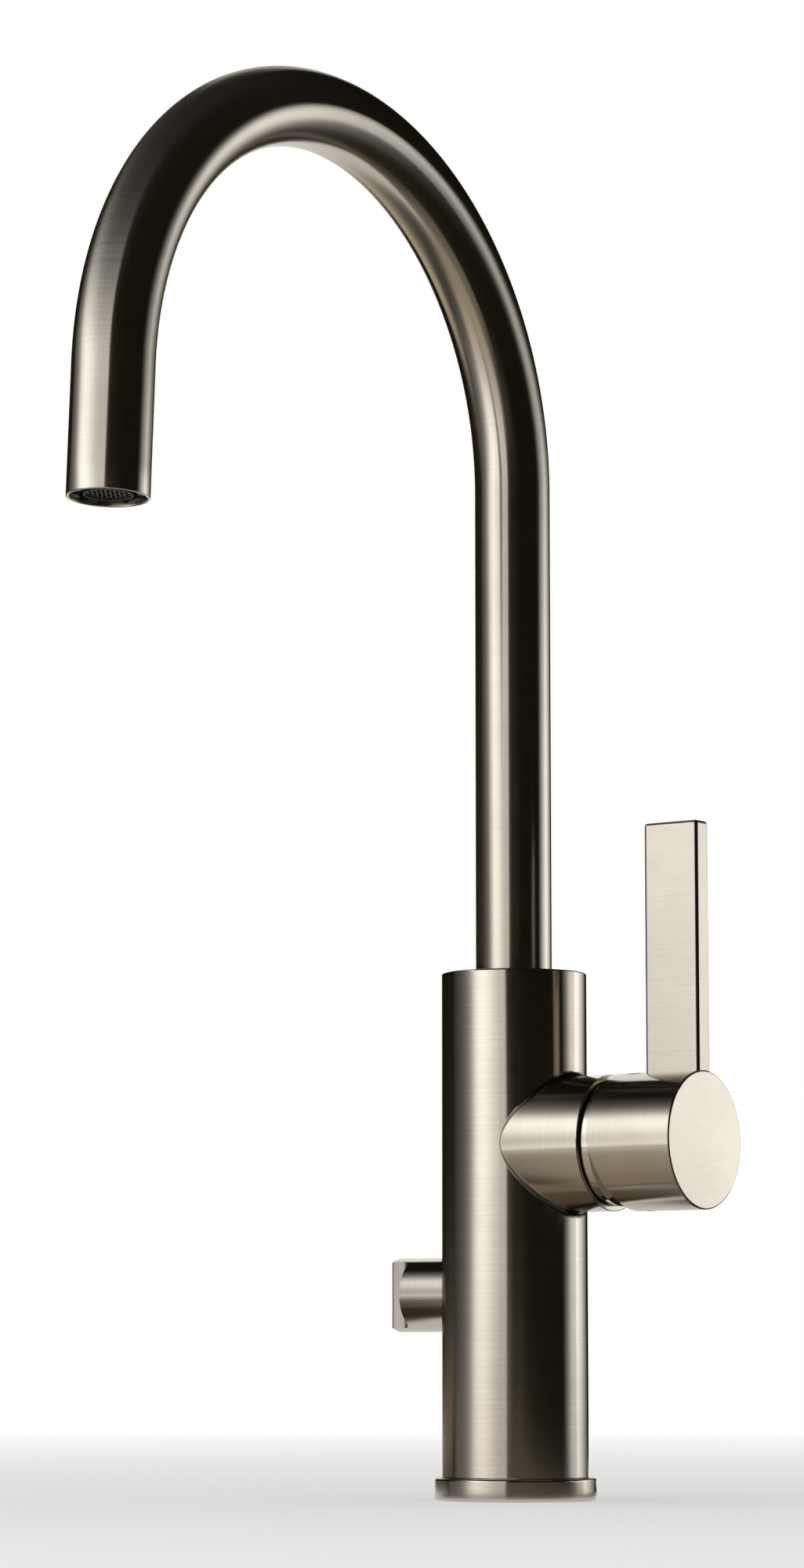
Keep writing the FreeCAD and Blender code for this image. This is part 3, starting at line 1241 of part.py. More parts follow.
def check_and_write():
    """Every object has to be sound before any file is written."""
    document.recompute()
    for item in document.Objects:
        if "Invalid" in item.State or "Error" in item.State:
            raise ValueError("%s failed: %s" % (item.Name, item.State))
    for node in nodes:
        if node.Shape.isNull() or not node.Shape.isValid() or not node.Shape.Solids:
            raise ValueError(node.Label + " has no valid solid")
    os.makedirs("parts", exist_ok=True)
    for node in nodes:
        node.Shape.exportStep(os.path.join("parts", node.Label + ".step"))
        print("%-24s %d solid %10.1f mm3" % (node.Label, len(node.Shape.Solids), node.Shape.Volume))


fill_sheets()
make_base()
make_body()
make_spout()
make_aerator()
make_cartridge()
make_handle()
make_valve()
check_and_write()
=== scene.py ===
import math

import bpy
from bpy.props import FloatProperty, FloatVectorProperty, PointerProperty
from mathutils import Euler, Matrix, Vector


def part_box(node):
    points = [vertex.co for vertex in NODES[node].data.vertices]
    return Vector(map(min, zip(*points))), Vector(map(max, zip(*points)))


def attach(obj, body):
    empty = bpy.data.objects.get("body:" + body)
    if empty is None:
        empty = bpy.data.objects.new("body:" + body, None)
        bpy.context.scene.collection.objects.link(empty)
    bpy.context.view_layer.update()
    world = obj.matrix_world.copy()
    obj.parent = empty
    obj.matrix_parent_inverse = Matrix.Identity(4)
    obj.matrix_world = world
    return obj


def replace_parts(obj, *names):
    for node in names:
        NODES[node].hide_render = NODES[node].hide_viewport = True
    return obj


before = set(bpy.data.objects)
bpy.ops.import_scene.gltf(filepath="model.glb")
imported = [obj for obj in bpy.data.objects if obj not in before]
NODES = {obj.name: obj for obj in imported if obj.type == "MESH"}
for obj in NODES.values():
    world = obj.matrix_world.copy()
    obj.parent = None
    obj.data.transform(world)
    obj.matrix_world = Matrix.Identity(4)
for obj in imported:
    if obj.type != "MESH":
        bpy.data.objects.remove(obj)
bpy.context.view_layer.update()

bl_info = {
    "name": "Kitchen mixer tap",
    "version": (1, 0, 0),
    "blender": (4, 5, 0),
    "location": "3D View > Sidebar > Tap",
    "description": "Dresses the packed kitchen mixer tap and sets up its studio",
    "category": "Object",
}

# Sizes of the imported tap, in metres

BODY_RADIUS = -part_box("body")[0].x
HANDLE_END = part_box("handle_cap")[1].x
LEVER_HEIGHT = (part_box("handle_cap")[0].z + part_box("handle_cap")[1].z) / 2.0
HOUSING_INSET = 0.00185
HOUSING_RADIUS = BODY_RADIUS - HOUSING_INSET
CORNER_RADIUS = 0.002
TUBE_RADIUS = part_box("spout_tube")[1].x
TUBE_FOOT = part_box("spout_tube")[0].z
TUBE_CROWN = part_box("spout_tube")[1].z
OUTLET_RIM = 0.001

# Directions, and the sides of round meshes

ALONG_X = (1.0, 0.0, 0.0)
UPWARDS = (0.0, 0.0, 1.0)
ROUND_SIDES = 96

# Camera

CAMERA_PLACE = Vector((0.8025, -1.1923, 0.0437))
CAMERA_AIM = Vector((-0.5744, 0.8080, 0.1311))
CAMERA_LENS = 100.67
CAMERA_SENSOR = 36.0
CAMERA_CLIP = 0.05, 50.0


# Sizes and colours a user may change

class TapSizes(bpy.types.PropertyGroup):
    """Sizes of the pieces that are made here; the rest come with the frame."""

    arch_radius: FloatProperty(
        name="Arch radius", description="Radius of the spout's bend, at the middle of the tube",
        default=0.1052, unit="LENGTH")
    arch_sweep: FloatProperty(
        name="Arch sweep", description="Angle that the spout's bend turns through",
        default=math.radians(177.24), subtype="ANGLE")
    outlet_length: FloatProperty(
        name="Outlet length", description="Straight end of the spout after the bend",
        default=0.0408, unit="LENGTH")
    tube_wall: FloatProperty(
        name="Tube wall", description="Wall of the spout tube", default=0.002, unit="LENGTH")
    outlet_bore_depth: FloatProperty(
        name="Outlet bore", description="Depth of the wider bore that takes the aerator",
        default=0.011, unit="LENGTH")
    rim_edge: FloatProperty(
        name="Rim edge", description="Rounding of the spout's rim", default=0.0003, unit="LENGTH")
    screen_radius: FloatProperty(
        name="Screen radius", description="Radius of the woven screen in the aerator",
        default=0.0076, unit="LENGTH")
    screen_pitch: FloatProperty(
        name="Screen pitch", description="Distance between the screen's wires", default=0.0009, unit="LENGTH")
    screen_wire: FloatProperty(
        name="Screen wire", description="Thickness of the screen's wires", default=0.00028, unit="LENGTH")
    screen_depth: FloatProperty(
        name="Screen depth", description="How far the screen lies inside the outlet's rim",
        default=0.0051, unit="LENGTH")


class TapFinish(bpy.types.PropertyGroup):
    """Colours and gloss of the finishes."""

    nickel: FloatVectorProperty(
        name="Brushed nickel", description="Colour of the brushed outside",
        default=(0.655, 0.604, 0.518), subtype="COLOR", min=0, max=1)
    # The bar's nickel is the same nickel darkened, painted shade that dims the bar's reflections
    bar_shaded_nickel: FloatVectorProperty(
        name="Bar nickel", description="Colour of the lever bar, a little darker than the rest",
        default=(0.563, 0.519, 0.44), subtype="COLOR", min=0, max=1)
    body_roughness: FloatProperty(
        name="Body roughness", description="Middle roughness of the brushed body and base ring",
        default=0.165, subtype="FACTOR", min=0, max=1)
    body_stretch: FloatProperty(
        name="Body stretch", description="How far the brushing draws out the body's highlights",
        default=0.8, subtype="FACTOR", min=0, max=1)
    handle_roughness: FloatProperty(
        name="Handle roughness", description="Middle roughness of the brushed handle, bar and knob",
        default=0.195, subtype="FACTOR", min=0, max=1)
    handle_stretch: FloatProperty(
        name="Handle stretch", description="How far the brushing draws out the handle's highlights",
        default=0.9, subtype="FACTOR", min=0, max=1)
    tube_roughness: FloatProperty(
        name="Tube roughness", description="Middle roughness of the brushed spout tube",
        default=0.21, subtype="FACTOR", min=0, max=1)
    tube_stretch: FloatProperty(
        name="Tube stretch", description="How far the brushing draws out the tube's highlights",
        default=1.0, subtype="FACTOR", min=0, max=1)
    polish: FloatVectorProperty(
        name="Polished nickel", description="Colour of the polished ring behind the handle",
        default=(0.72, 0.675, 0.60), subtype="COLOR", min=0, max=1)
    brass: FloatVectorProperty(
        name="Brass", description="Colour of the turned brass pieces inside",
        default=(0.72, 0.52, 0.24), subtype="COLOR", min=0, max=1)
    steel: FloatVectorProperty(
        name="Stainless steel", description="Colour of the screws, pins and wires",
        default=(0.56, 0.56, 0.55), subtype="COLOR", min=0, max=1)
    rubber: FloatVectorProperty(
        name="Rubber", description="Colour of the seals", default=(0.022, 0.022, 0.023),
        subtype="COLOR", min=0, max=1)
    bearing: FloatVectorProperty(
        name="Bearing plastic", description="Colour of the plastic bushes and cartridge",
        default=(0.74, 0.74, 0.71), subtype="COLOR", min=0, max=1)
    aerator: FloatVectorProperty(
        name="Aerator plastic", description="Colour of the aerator", default=(0.03, 0.03, 0.031),
        subtype="COLOR", min=0, max=1)
    index: FloatVectorProperty(
        name="Index plastic", description="Colour of the plug on top of the handle",
        default=(0.012, 0.012, 0.013), subtype="COLOR", min=0, max=1)
    ceramic: FloatVectorProperty(
        name="Ceramic", description="Colour of the valve discs", default=(0.84, 0.83, 0.80),
        subtype="COLOR", min=0, max=1)


class TapStage(bpy.types.PropertyGroup):
    """Light and ground."""

    box_strength: FloatProperty(
        name="Soft boxes", description="Brightness of the two soft boxes", default=1.9, min=0)
    fill_power: FloatProperty(
        name="Fill", description="Power of the lamp above that shapes the shadow",
        default=5.0, unit="POWER", min=0)
    floor: FloatVectorProperty(
        name="Floor", description="Colour of the floor",
        default=(0.70, 0.68, 0.65), subtype="COLOR", min=0, max=1)
    floor_radius: FloatProperty(
        name="Floor radius", description="Size of the floor", default=4.0, unit="LENGTH")


# Helpers for node trees and meshes

def add(tree, kind, feeds=None, **settings):
    """Add a node with its settings, and feed its inputs with numbers or with other nodes' outputs."""
    made = tree.nodes.new(kind)
    for name, setting in settings.items():
        setattr(made, name, setting)
    for key, feed in (feeds or {}).items():
        if isinstance(feed, bpy.types.NodeSocket):
            tree.links.new(feed, made.inputs[key])
        else:
            made.inputs[key].default_value = feed
    return made


def reckon(tree, operation, *feeds):
    """Result of a sum on numbers."""
    return add(tree, "ShaderNodeMath", dict(enumerate(feeds)), operation=operation).outputs[0]


def steer(tree, operation, *feeds, out="Vector"):
    """Result of a sum on vectors."""
    return add(tree, "ShaderNodeVectorMath", dict(enumerate(feeds)), operation=operation).outputs[out]


def scaled(tree, feed, factor):
    """A vector times a number."""
    return add(tree, "ShaderNodeVectorMath", {0: feed, "Scale": factor}, operation="SCALE").outputs[0]


def vector(tree, x=0.0, y=0.0, z=0.0):
    """A vector from its three parts."""
    return add(tree, "ShaderNodeCombineXYZ", {0: x, 1: y, 2: z}).outputs[0]


def parts(tree, feed):
    """The three parts of a vector."""
    return add(tree, "ShaderNodeSeparateXYZ", {0: feed}).outputs


def length(tree, feed):
    """Length of a vector."""
    return steer(tree, "LENGTH", feed, out="Value")


def level_part(tree, feed):
    """What a vector has across the upright axis."""
    return steer(tree, "MULTIPLY", feed, (1.0, 1.0, 0.0))


def weighed(tree, share, first, second):
    """Two values mixed, the first by its share and the second by the rest."""
    return reckon(tree, "ADD", reckon(tree, "MULTIPLY", first, share),
                  reckon(tree, "MULTIPLY", second, 1.0 - share))


def choose(tree, factor, first, second):
    """One vector where factor is 0, the other where it is 1."""
    return add(tree, "ShaderNodeMix", {"Factor": factor, 4: first, 5: second}, data_type="VECTOR").outputs[1]


def tint(tree, factor, first, second):
    """One colour where factor is 0, the other where it is 1."""
    return add(tree, "ShaderNodeMix", {"Factor": factor, 6: first, 7: second}, data_type="RGBA").outputs[2]


def noise(tree, spot, scale, detail=2.0, roughness=0.5):
    """Even noise from 0 to 1."""
    feeds = {"Vector": spot, "Scale": scale, "Detail": detail, "Roughness": roughness}
    return add(tree, "ShaderNodeTexNoise", feeds).outputs[0]


def ranged(tree, value, low, high, start=0.0, end=1.0, **settings):
    """A value from start to end brought to lie from low to high."""
    feeds = {"Value": value, "From Min": start, "From Max": end, "To Min": low, "To Max": high}
    return add(tree, "ShaderNodeMapRange", feeds, **settings).outputs[0]


def above(tree, value, limit):
    """1 where the value is above the limit, else 0."""
    return reckon(tree, "GREATER_THAN", value, limit)


def shade(colour, factor):
    """A colour made lighter or darker, with its alpha."""
    return tuple(min(1.0, channel * factor) for channel in colour) + (1.0,)


def shaded(tree, pattern, colour, factors):
    """A colour that runs between two shades of itself with a pattern."""
    return tint(tree, pattern, *(shade(colour, factor) for factor in factors))


def roughened(tree, pattern, roughness, factors):
    """A roughness that runs between two factors of itself with a pattern."""
    return ranged(tree, pattern, *(min(1.0, roughness * factor) for factor in factors))


def bare(name):
    """A material with an empty node tree."""
    material = bpy.data.materials.new(name)
    material.use_nodes = True
    material.node_tree.nodes.clear()
    return material, material.node_tree


def blank(name, **sockets):
    """A material with one shader whose even values are set on its own sockets."""
    material, tree = bare(name)
    shader = add(tree, "ShaderNodeBsdfPrincipled", sockets)
    add(tree, "ShaderNodeOutputMaterial", {"Surface": shader.outputs[0]})
    spot = add(tree, "ShaderNodeTexCoord").outputs["Object"]
    return material, tree, shader, spot


def emboss(tree, shader, height, strength, distance):
    """Bump of a shader from a height."""
    bump = add(tree, "ShaderNodeBump", {"Height": height, "Strength": strength, "Distance": distance})
    tree.links.new(bump.outputs[0], shader.inputs["Normal"])


def dress(material, *names):
    """Give CAD nodes a material."""
    for name in names:
        mesh = NODES[name].data
        mesh.materials.clear()
        mesh.materials.append(material)


def new_piece(name, mesh, material, body):
    """A finished piece at the origin that rides on a body and takes its finish from a slot."""
    piece = bpy.data.objects.new(name, mesh)
    bpy.context.scene.collection.objects.link(piece)
    if not mesh.materials:
        mesh.materials.append(material)
    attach(piece, body)
    return piece


def ring(radius, height):
    """Points round the upright axis."""
    turns = [math.tau * i / ROUND_SIDES for i in range(ROUND_SIDES)]
    return [(radius * math.cos(turn), radius * math.sin(turn), height) for turn in turns]


def sheet_mesh(name, rings, closed_round=True, closed_along=False):
    """A mesh of quads through rings of points, each ring as long as the others."""
    across = len(rings[0])
    points = [point for line in rings for point in line]
    faces = []
    for row in range(len(rings) if closed_along else len(rings) - 1):
        after = (row + 1) % len(rings)
        for column in range(across if closed_round else across - 1):
            beside = (column + 1) % across
            faces.append((row * across + column, row * across + beside,
                          after * across + beside, after * across + column))
    mesh = bpy.data.meshes.new(name)
    mesh.from_pydata(points, [], faces)
    mesh.update()
    return mesh


def settle(piece_name, mesh, tree, inputs):
    """Run a node tree on a mesh and return the plain mesh that results."""
    carrier = bpy.data.objects.new(piece_name + "_carrier", mesh)
    bpy.context.scene.collection.objects.link(carrier)
    modifier = carrier.modifiers.new(piece_name, "NODES")
    modifier.node_group = tree
    for socket in tree.interface.items_tree:
        if socket.item_type == "SOCKET" and socket.in_out == "INPUT" and socket.name in inputs:
            modifier[socket.identifier] = inputs[socket.name]
    evaluated = carrier.evaluated_get(bpy.context.evaluated_depsgraph_get())
    made = bpy.data.meshes.new_from_object(evaluated)
    carrier.modifiers.remove(modifier)
    bpy.data.objects.remove(carrier)
    if not made.polygons:
        raise RuntimeError(piece_name + " came out empty")
    made.name = piece_name
    return made


def new_tree(name, sockets):
    """A geometry node tree with named inputs; returns it with its input node."""
    tree = bpy.data.node_groups.new(name, "GeometryNodeTree")
    tree.interface.new_socket("Geometry", in_out="INPUT", socket_type="NodeSocketGeometry")
    for label, kind in sockets:
        tree.interface.new_socket(label, in_out="INPUT", socket_type=kind)
    tree.interface.new_socket("Geometry", in_out="OUTPUT", socket_type="NodeSocketGeometry")
    return tree, add(tree, "NodeGroupInput").outputs


def keep(tree, geometry, name, value, kind):
    """Store a value on every point, under a name that later nodes and materials can read."""
    feeds = {"Geometry": geometry, "Name": name, "Value": value}
    return add(tree, "GeometryNodeStoreNamedAttribute", feeds, data_type=kind, domain="POINT").outputs[0]


def close_tree(tree, geometry, material):
    """End a tree in real geometry with its material."""
    real = add(tree, "GeometryNodeRealizeInstances", {0: geometry}).outputs[0]
    painted = add(tree, "GeometryNodeSetMaterial", {"Geometry": real, "Material": material}).outputs[0]
    add(tree, "NodeGroupOutput", {0: painted})


# Finishes

# Brush lines: changes per metre along and across them, bump, and a slant that keeps tangents off the axes
LINES_LONG = 60.0
LINES_FINE = 4500.0
LINES_BUMP = 0.02
LINES_HEIGHT = 0.00002
OFF_AXIS = (0.02, 0.013, 0.017)
# Faces whose normals rise more than this are level, and rougher by this factor
LEVEL_RISE = 0.9
LEVEL_ROUGHER = 2.4
# The housing starts this far outside the body
HOUSING_START = 0.0001
# Depth of the handle's end face, and the direction that its lines run across
HANDLE_END_DEPTH = 0.0002
HANDLE_END_ACROSS = (0.0, -0.24, 0.97)
# Painted shade in the inner corner of the housing: room for the mesh's facets, shares of its depth where the
# painted shade fades, and how dark it is painted
CORNER_ROOM = 0.00003
CORNER_FADE = 0.02, 0.3
CORNER_PAINTED_SHADE = 0.22
# Nickel: darkest and lightest shade, least and most roughness, and share of the lines beside the clouding
NICKEL_SHADES = 0.74, 1.26
NICKEL_ROUGHNESS = 0.8, 1.2
LINES_SHARE = 0.6


def sideways(tree, spot):
    """Brushed round an axis along X."""
    return ALONG_X, None


def upright(tree, spot):
    """Brushed round the upright axis, and turned in rings on the level faces."""
    normal = add(tree, "ShaderNodeTexCoord").outputs["Normal"]
    ends = above(tree, reckon(tree, "ABSOLUTE", parts(tree, normal)[2]), LEVEL_RISE)
    return choose(tree, ends, UPWARDS, steer(tree, "NORMALIZE", level_part(tree, spot))), ends


def round_body(tree, spot):
    """Round the body, and round the housing where it stands out from the body."""
    out = above(tree, length(tree, level_part(tree, spot)), BODY_RADIUS + HOUSING_START)
    across, ends = upright(tree, spot)
    return choose(tree, out, across, ALONG_X), above(tree, ends, out)


def round_handle(tree, spot):
    """Round the handle, and in straight, slightly slanting lines on its end."""
    end = above(tree, parts(tree, spot)[0], HANDLE_END - HANDLE_END_DEPTH)
    return choose(tree, end, ALONG_X, HANDLE_END_ACROSS), None


def housing_corner_shade(tree, spot):
    """1 in the rounded inner corner between the body and its housing, where shade is painted into the colour.
    """
    raised = steer(tree, "SUBTRACT", spot, (0.0, 0.0, LEVER_HEIGHT))
    round_axis = length(tree, level_part(tree, spot))
    round_lever = length(tree, steer(tree, "MULTIPLY", raised, (0.0, 1.0, 1.0)))
    off_both = reckon(tree, "MINIMUM", reckon(tree, "SUBTRACT", round_axis, BODY_RADIUS),
                      reckon(tree, "SUBTRACT", round_lever, HOUSING_RADIUS))
    side = parts(tree, spot)[1]
    cosine = reckon(tree, "DIVIDE", reckon(tree, "MULTIPLY", side, side),
                    reckon(tree, "MULTIPLY", round_axis, round_lever))
    half_cosine = reckon(tree, "SQRT", reckon(tree, "MULTIPLY_ADD", cosine, 0.5, 0.5))
    deepest = reckon(tree, "MULTIPLY_ADD", half_cosine, -CORNER_RADIUS, CORNER_RADIUS + CORNER_ROOM)
    depth = reckon(tree, "DIVIDE", off_both, deepest)
    return ranged(tree, depth, 0.0, 1.0, *CORNER_FADE, interpolation_type="SMOOTHSTEP")


def brushed_nickel(name, nickel, roughness, stretch, field, corner=None):
    """Brushed nickel whose fine lines run across the direction that the field gives."""
    material, tree, shader, spot = blank(name, Metallic=1.0, Anisotropic=stretch)
    across, ends = field(tree, spot)
    if isinstance(across, tuple):
        fine_spot = steer(tree, "MULTIPLY", spot, tuple(LINES_LONG + LINES_FINE * part for part in across))
        tangent = vector(tree, *(part + off for part, off in zip(across, OFF_AXIS)))
    else:
        depth = steer(tree, "DOT_PRODUCT", spot, across, out="Value")
        fine_spot = steer(tree, "ADD", scaled(tree, spot, LINES_LONG),
                          scaled(tree, across, reckon(tree, "MULTIPLY", depth, LINES_FINE)))
        tangent = steer(tree, "ADD", across, OFF_AXIS)
    finish_nickel(tree, shader, nickel, roughness, spot, fine_spot, tangent, ends)
    # Painted shade: the corner mask darkens the colour in the crease
    if corner:
        colour = shader.inputs["Base Color"].links[0].from_socket
        painted_corner_shade = scaled(tree, colour, ranged(tree, corner(tree, spot), 1.0, CORNER_PAINTED_SHADE))
        tree.links.new(painted_corner_shade, shader.inputs["Base Color"])
    return material


def finish_nickel(tree, shader, nickel, roughness, spot, fine_spot, tangent, ends=None):
    """Colour, gloss and brushing of nickel from a place and a place stretched along the lines."""
    fine = noise(tree, fine_spot, scale=1.0, detail=2.0, roughness=0.6)
    streak = noise(tree, fine_spot, scale=0.25, detail=3.0, roughness=0.65)
    cloud = noise(tree, spot, scale=45.0, detail=3.0, roughness=0.6)
    lines = weighed(tree, 0.5, fine, streak)
    colour = shaded(tree, weighed(tree, LINES_SHARE, lines, cloud), nickel, NICKEL_SHADES)
    tree.links.new(colour, shader.inputs["Base Color"])
    gloss = roughened(tree, lines, roughness, NICKEL_ROUGHNESS)
    if ends:
        gloss = reckon(tree, "MULTIPLY", gloss, ranged(tree, ends, 1.0, LEVEL_ROUGHER))
    tree.links.new(gloss, shader.inputs["Roughness"])
    tree.links.new(tangent, shader.inputs["Tangent"])
    emboss(tree, shader, lines, LINES_BUMP, LINES_HEIGHT)


def brushed_tube(name, finish):
    """Brushed nickel whose lines run round a bent tube; reads the tube's own course."""
    material, tree, shader, spot = blank(name, Metallic=1.0, Anisotropic=finish.tube_stretch)
    along = add(tree, "ShaderNodeAttribute", attribute_name="along").outputs["Fac"]
    course = add(tree, "ShaderNodeAttribute", attribute_name="course").outputs["Vector"]
    around = add(tree, "ShaderNodeAttribute", attribute_name="around").outputs["Vector"]
    fine_spot = steer(tree, "ADD", scaled(tree, around, LINES_LONG),
                      vector(tree, z=reckon(tree, "MULTIPLY", along, LINES_FINE)))
    tangent = steer(tree, "ADD", course, OFF_AXIS)
    finish_nickel(tree, shader, finish.nickel, finish.tube_roughness, spot, fine_spot, tangent)
    return material


# Turned and moulded finishes: marks per metre along each axis, height of the marks, and weaker shines
RINGS_ALONG_X = (2600.0, 60.0, 60.0)
RINGS_UPRIGHT = (60.0, 60.0, 2600.0)
POLISH_RINGS = (3000.0, 60.0, 60.0)
EVEN_MARKS = (900.0, 900.0, 900.0)
RINGS_HEIGHT = 0.00002
GRAIN_HEIGHT = 0.00003
DULL_SHINE = {"Specular IOR Level": 0.3}
NO_SHINE = {"Specular IOR Level": 0.0}
# Their darkest and lightest shade, their least and most roughness, and the grains across a cloud
TURNED_SHADES = 0.9, 1.08
TURNED_ROUGHNESS = 0.6, 1.4
MOULDED_SHADES = 0.82, 1.15
MOULDED_ROUGHNESS = 0.7, 1.3
GRAINS_PER_CLOUD = 18.0


def turned_metal(name, colour, roughness, marks, bump):
    """Metal turned on a lathe: fine rings, small changes of colour and gloss."""
    material, tree, shader, spot = blank(name, Metallic=1.0)
    rings = noise(tree, steer(tree, "MULTIPLY", spot, marks), scale=1.0, detail=3.0, roughness=0.6)
    cloud = noise(tree, spot, scale=60.0, detail=3.0)
    tree.links.new(shaded(tree, cloud, colour, TURNED_SHADES), shader.inputs["Base Color"])
    tree.links.new(roughened(tree, rings, roughness, TURNED_ROUGHNESS), shader.inputs["Roughness"])
    emboss(tree, shader, rings, bump, RINGS_HEIGHT)
    return material


def moulded(name, colour, roughness, grain, bump, **sockets):
    """Moulded plastic, rubber or ceramic: faint clouding and a fine grain."""
    material, tree, shader, spot = blank(name, **sockets)
    grit = noise(tree, spot, scale=grain, detail=3.0, roughness=0.6)
    cloud = noise(tree, spot, scale=grain / GRAINS_PER_CLOUD)
    tree.links.new(shaded(tree, cloud, colour, MOULDED_SHADES), shader.inputs["Base Color"])
    tree.links.new(roughened(tree, grit, roughness, MOULDED_ROUGHNESS), shader.inputs["Roughness"])
    emboss(tree, shader, grit, bump, GRAIN_HEIGHT)
    return material


# Pieces

class TAP_OT_body(bpy.types.Operator):
    """Give the base ring, body, handle, lever bar and knob their brushed nickel"""

    bl_idname = "tap.body"
    bl_label = "Brush the body and handle"

    def execute(self, context):
        finish = context.scene.tap_finish
        body = finish.nickel, finish.body_roughness, finish.body_stretch
        handle = finish.nickel, finish.handle_roughness, finish.handle_stretch
        # The bar takes the darker nickel, painted shade
        bar = finish.bar_shaded_nickel, finish.handle_roughness, finish.handle_stretch
        dress(brushed_nickel("brushed_base", *body, upright), "base_ring")
        # The body's colour carries painted shade in its corner with the housing
        dress(brushed_nickel("brushed_body", *body, round_body, housing_corner_shade), "body")
        dress(brushed_nickel("brushed_handle", *handle, round_handle), "handle_cap")
        dress(brushed_nickel("brushed_bar", *bar, upright), "lever_bar")
        dress(brushed_nickel("brushed_knob", *handle, sideways), "shutoff_knob")
        return {"FINISHED"}


class TAP_OT_trim(bpy.types.Operator):
    """Give the polished ring behind the handle and the index plug their finishes"""

    bl_idname = "tap.trim"
    bl_label = "Finish the trim"

    def execute(self, context):
        finish = context.scene.tap_finish
        metal = turned_metal("polished_nickel", finish.polish, roughness=0.09, marks=POLISH_RINGS, bump=0.04)
        plastic = moulded("index_plastic", finish.index, roughness=0.35, grain=1500.0, bump=0.05,
                          **DULL_SHINE)
        dress(metal, "dome_ring")
        dress(plastic, "index_plug")
        return {"FINISHED"}


# Steps between the rings of the tube's mesh, in metres, and the mesh's rounded and sharp edges
RISER_STEP = 0.012
BEND_STEP = 0.0016
OUTLET_STEP = 0.008
BORE_STEP = 0.004
INNER_BEND_STEP = 0.006
INNER_RISER_STEP = 0.02
RIM_FACETS = 3
SHARP_EDGE = math.radians(40)


def arch_foot(sizes):
    """Height where the spout's riser ends and its bend starts."""
    return TUBE_CROWN - sizes.arch_radius - TUBE_RADIUS


def swan_neck_tree():
    """Bends a straight tube along riser, arch and outlet, and keeps each point's place along and round it."""
    tree, given = new_tree("swan_neck", (
        ("Arch Height", "NodeSocketFloat"), ("Arch Radius", "NodeSocketFloat"),
        ("Arch Sweep", "NodeSocketFloat"), ("Material", "NodeSocketMaterial")))
    height, radius, sweep = given["Arch Height"], given["Arch Radius"], given["Arch Sweep"]
    place = add(tree, "GeometryNodeInputPosition").outputs[0]
    side, depth, along = parts(tree, place)
    past = reckon(tree, "SUBTRACT", along, height)
    turn = reckon(tree, "DIVIDE", past, radius)
    turn = reckon(tree, "MINIMUM", reckon(tree, "MAXIMUM", turn, 0.0), sweep)
    rest = reckon(tree, "SUBTRACT", past, reckon(tree, "MULTIPLY", turn, radius))
    sine = reckon(tree, "SINE", turn)
    cosine = reckon(tree, "COSINE", turn)
    arm = reckon(tree, "ADD", depth, radius)
    new_y = reckon(tree, "SUBTRACT", reckon(tree, "MULTIPLY", arm, cosine), radius)
    new_y = reckon(tree, "SUBTRACT", new_y, reckon(tree, "MULTIPLY", rest, sine))
    new_z = reckon(tree, "ADD", reckon(tree, "MULTIPLY", arm, sine), reckon(tree, "MULTIPLY", rest, cosine))
    new_z = reckon(tree, "ADD", new_z, height)
    bent = vector(tree, side, new_y, new_z)
    course = vector(tree, y=reckon(tree, "MULTIPLY", sine, -1.0), z=cosine)
    geometry = keep(tree, given["Geometry"], "along", along, "FLOAT")
    geometry = keep(tree, geometry, "course", course, "FLOAT_VECTOR")
    geometry = keep(tree, geometry, "around", level_part(tree, place), "FLOAT_VECTOR")
    geometry = add(tree, "GeometryNodeSetPosition", {"Geometry": geometry, "Position": bent}).outputs[0]
    close_tree(tree, geometry, given["Material"])
    return tree


class TAP_OT_swan_neck(bpy.types.Operator):
    """Make the spout's swan-neck tube, with its rim and the bore for the aerator"""

    bl_idname = "tap.swan_neck"
    bl_label = "Make the swan neck"

    def execute(self, context):
        sizes = context.scene.tap_sizes
        arch_height = arch_foot(sizes)
        arch_end = arch_height + sizes.arch_radius * sizes.arch_sweep
        rim = arch_end + sizes.outlet_length
        bore = TUBE_RADIUS - OUTLET_RIM
        inside = TUBE_RADIUS - sizes.tube_wall
        step = rim - sizes.outlet_bore_depth
        edge = sizes.rim_edge

        def run(radius, start, end, pitch):
            count = max(1, round(abs(end - start) / pitch))
            return [(radius, start + (end - start) * i / count) for i in range(count)]

        def corner(radius, height, start):
            turns = [start + math.pi / 2 * i / RIM_FACETS for i in range(RIM_FACETS + 1)]
            return [(radius + edge * math.cos(turn), height + edge * math.sin(turn)) for turn in turns]

        profile = run(TUBE_RADIUS, TUBE_FOOT, arch_height, RISER_STEP)
        profile += run(TUBE_RADIUS, arch_height, arch_end, BEND_STEP)
        profile += run(TUBE_RADIUS, arch_end, rim - edge, OUTLET_STEP)
        profile += corner(TUBE_RADIUS - edge, rim - edge, 0.0) + corner(bore + edge, rim - edge, math.pi / 2)
        profile += run(bore, rim - edge * 2, step, BORE_STEP) + [(bore, step)]
        profile += run(inside, step, arch_end, OUTLET_STEP)
        profile += run(inside, arch_end, arch_height, INNER_BEND_STEP)
        profile += run(inside, arch_height, TUBE_FOOT, INNER_RISER_STEP) + [(inside, TUBE_FOOT)]
        straight = sheet_mesh("straight_tube", [ring(*place) for place in profile], closed_along=True)
        material = brushed_tube("brushed_tube", context.scene.tap_finish)
        mesh = settle("swan_neck", straight, swan_neck_tree(), {
            "Arch Height": arch_height, "Arch Radius": sizes.arch_radius, "Arch Sweep": sizes.arch_sweep,
            "Material": material})
        mesh.shade_smooth()
        mesh.set_sharp_from_angle(angle=SHARP_EDGE)
        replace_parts(new_piece("swan_neck", mesh, material, "spout"), "spout_tube")
        dress(material, "spout_tube")
        return {"FINISHED"}


# Points and sides of the screen's wires, their weave in wire thicknesses, and the least half length, squared
WIRE_POINTS = 49
WIRE_SIDES = 6
WEAVE_DEPTH = 0.52
LEAST_REACH = 1e-8


